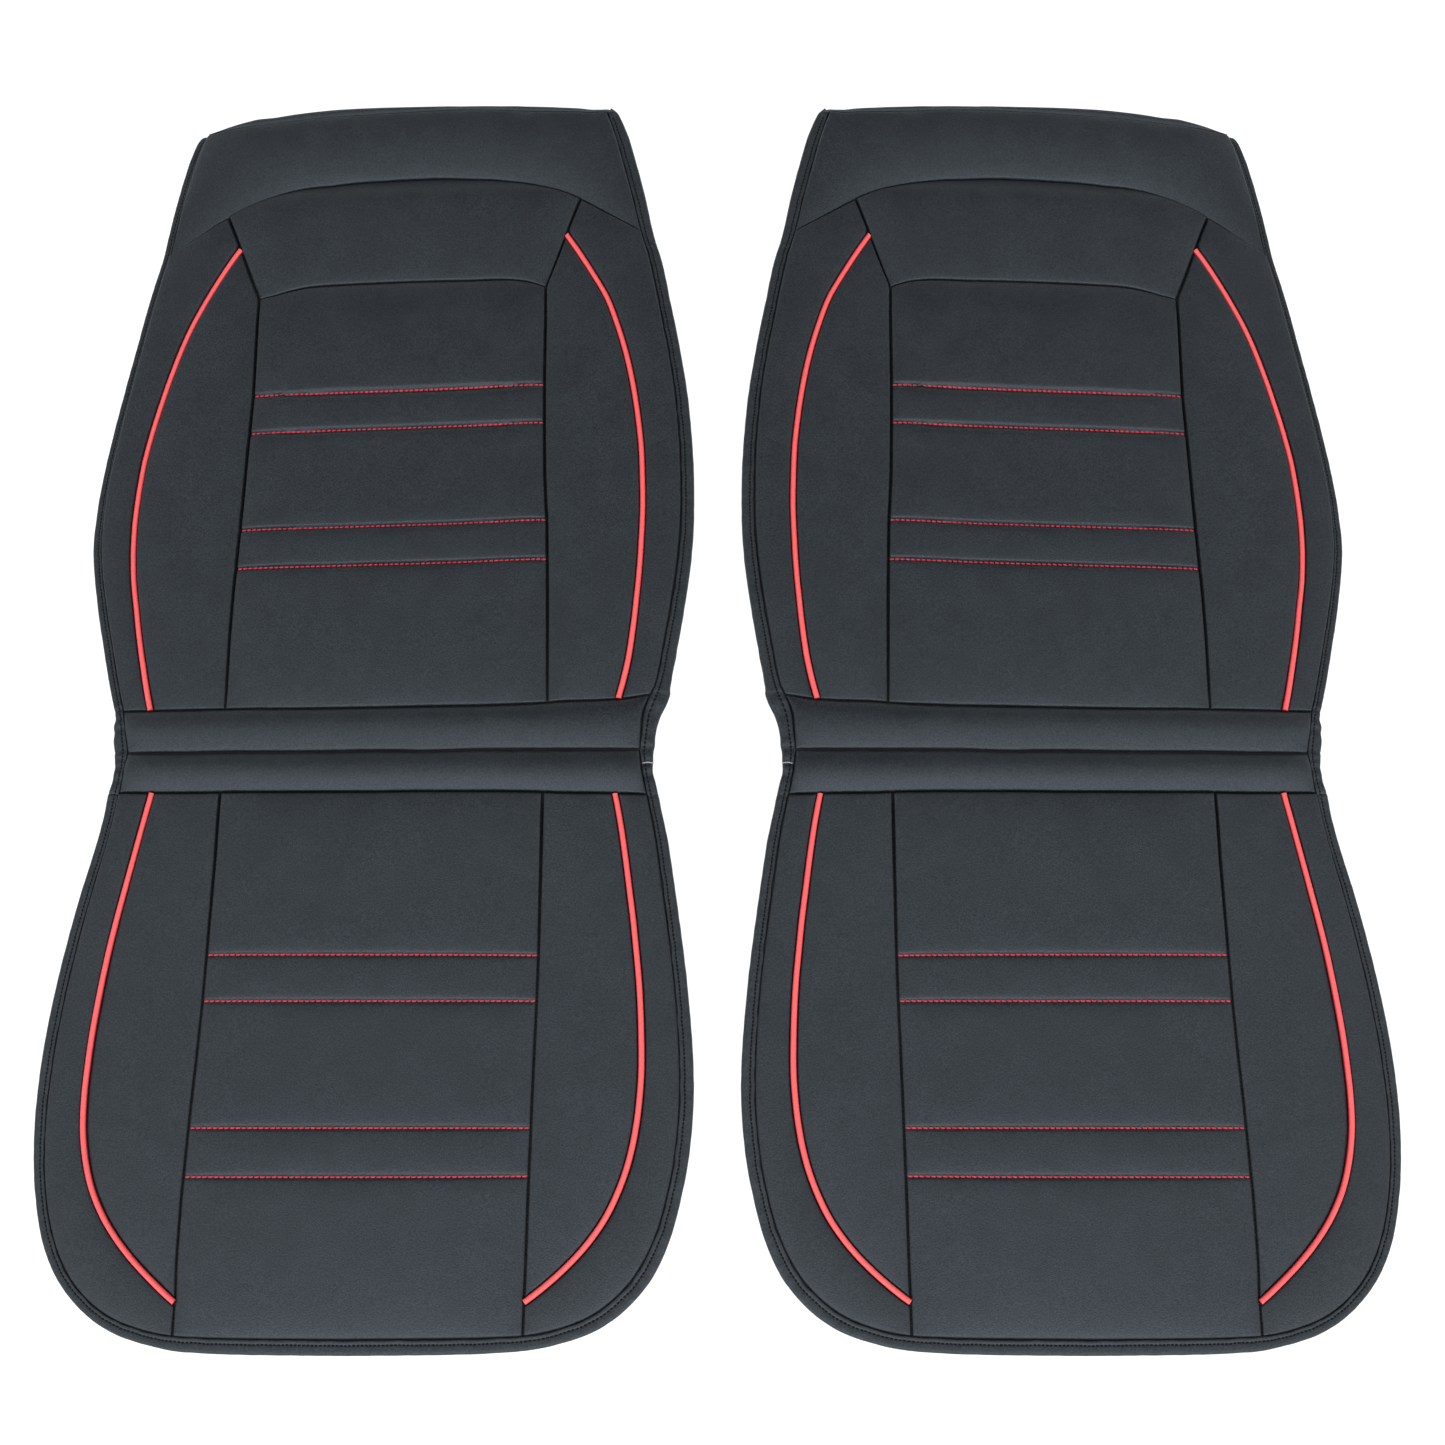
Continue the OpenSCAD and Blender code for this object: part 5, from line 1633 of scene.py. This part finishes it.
surface = nodes.fed("ShaderNodeMixShader", 0, {
    0: nodes.maths("MULTIPLY", seen, FLOOR_GLOW_SHARE),
    1: nodes.fed("ShaderNodeBsdfDiffuse", 0, {"Color": FLOOR_COLOUR}),
    2: nodes.fed("ShaderNodeEmission", 0, {"Strength": FLOOR_GLOW}),
})
nodes.link(surface, nodes.tree.nodes["Material Output"].inputs["Surface"])
floor_mesh.materials.append(floor_paint)

world = bpy.data.worlds.new("studio")
bpy.context.scene.world = world
nodes = Nodes(world)
towards = nodes.node("ShaderNodeTexCoord").outputs["Generated"]
towards_y = nodes.fed("ShaderNodeSeparateXYZ", "Y", {0: towards})
# Brightness of the dome by direction along y, from behind the camera to the far side
DOME = ((-1.0, 0.9), (-0.8, 1.3), (-0.55, 2.0), (-0.3, 1.5), (-0.1, 0.99), (0.05, 1.15),
        (0.2, 1.14), (0.3, 0.92), (0.38, 0.75), (0.46, 0.67), (0.57, 0.42), (0.7, 0.16),
        (0.85, 0.04), (1.0, 0.02))
DOME_MOST = 2.0
bands = nodes.node("ShaderNodeValToRGB")
bands.color_ramp.interpolation = "EASE"
stops = bands.color_ramp.elements
while len(stops) < len(DOME):
    stops.new(0.5)
for stop, (along_y, level) in zip(list(stops), DOME):
    stop.position = (along_y + 1) / 2
    stop.color = (*[level / DOME_MOST] * 3, 1)
nodes.link(nodes.maths("MULTIPLY_ADD", towards_y, 0.5, 0.5), bands.inputs["Fac"])
dome = nodes.tree.nodes["Background"]
dome.inputs["Color"].default_value = (1, 1, 1, 1)
nodes.link(nodes.maths("MULTIPLY", bands.outputs["Color"], DOME_MOST), dome.inputs["Strength"])

SOFTBOX_AT = Vector((0.0, -2.9, 2.5))
lamp = bpy.data.lights.new("softbox", "AREA")
lamp.shape = "RECTANGLE"
lamp.size, lamp.size_y = 5.0, 2.2
lamp.energy = 70
softbox = bpy.data.objects.new("softbox", lamp)
bpy.context.scene.collection.objects.link(softbox)
softbox.location = SOFTBOX_AT
softbox.rotation_euler = (-SOFTBOX_AT).to_track_quat("-Z", "Y").to_euler()

bpy.context.scene.view_settings.view_transform = "Standard"

low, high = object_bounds()
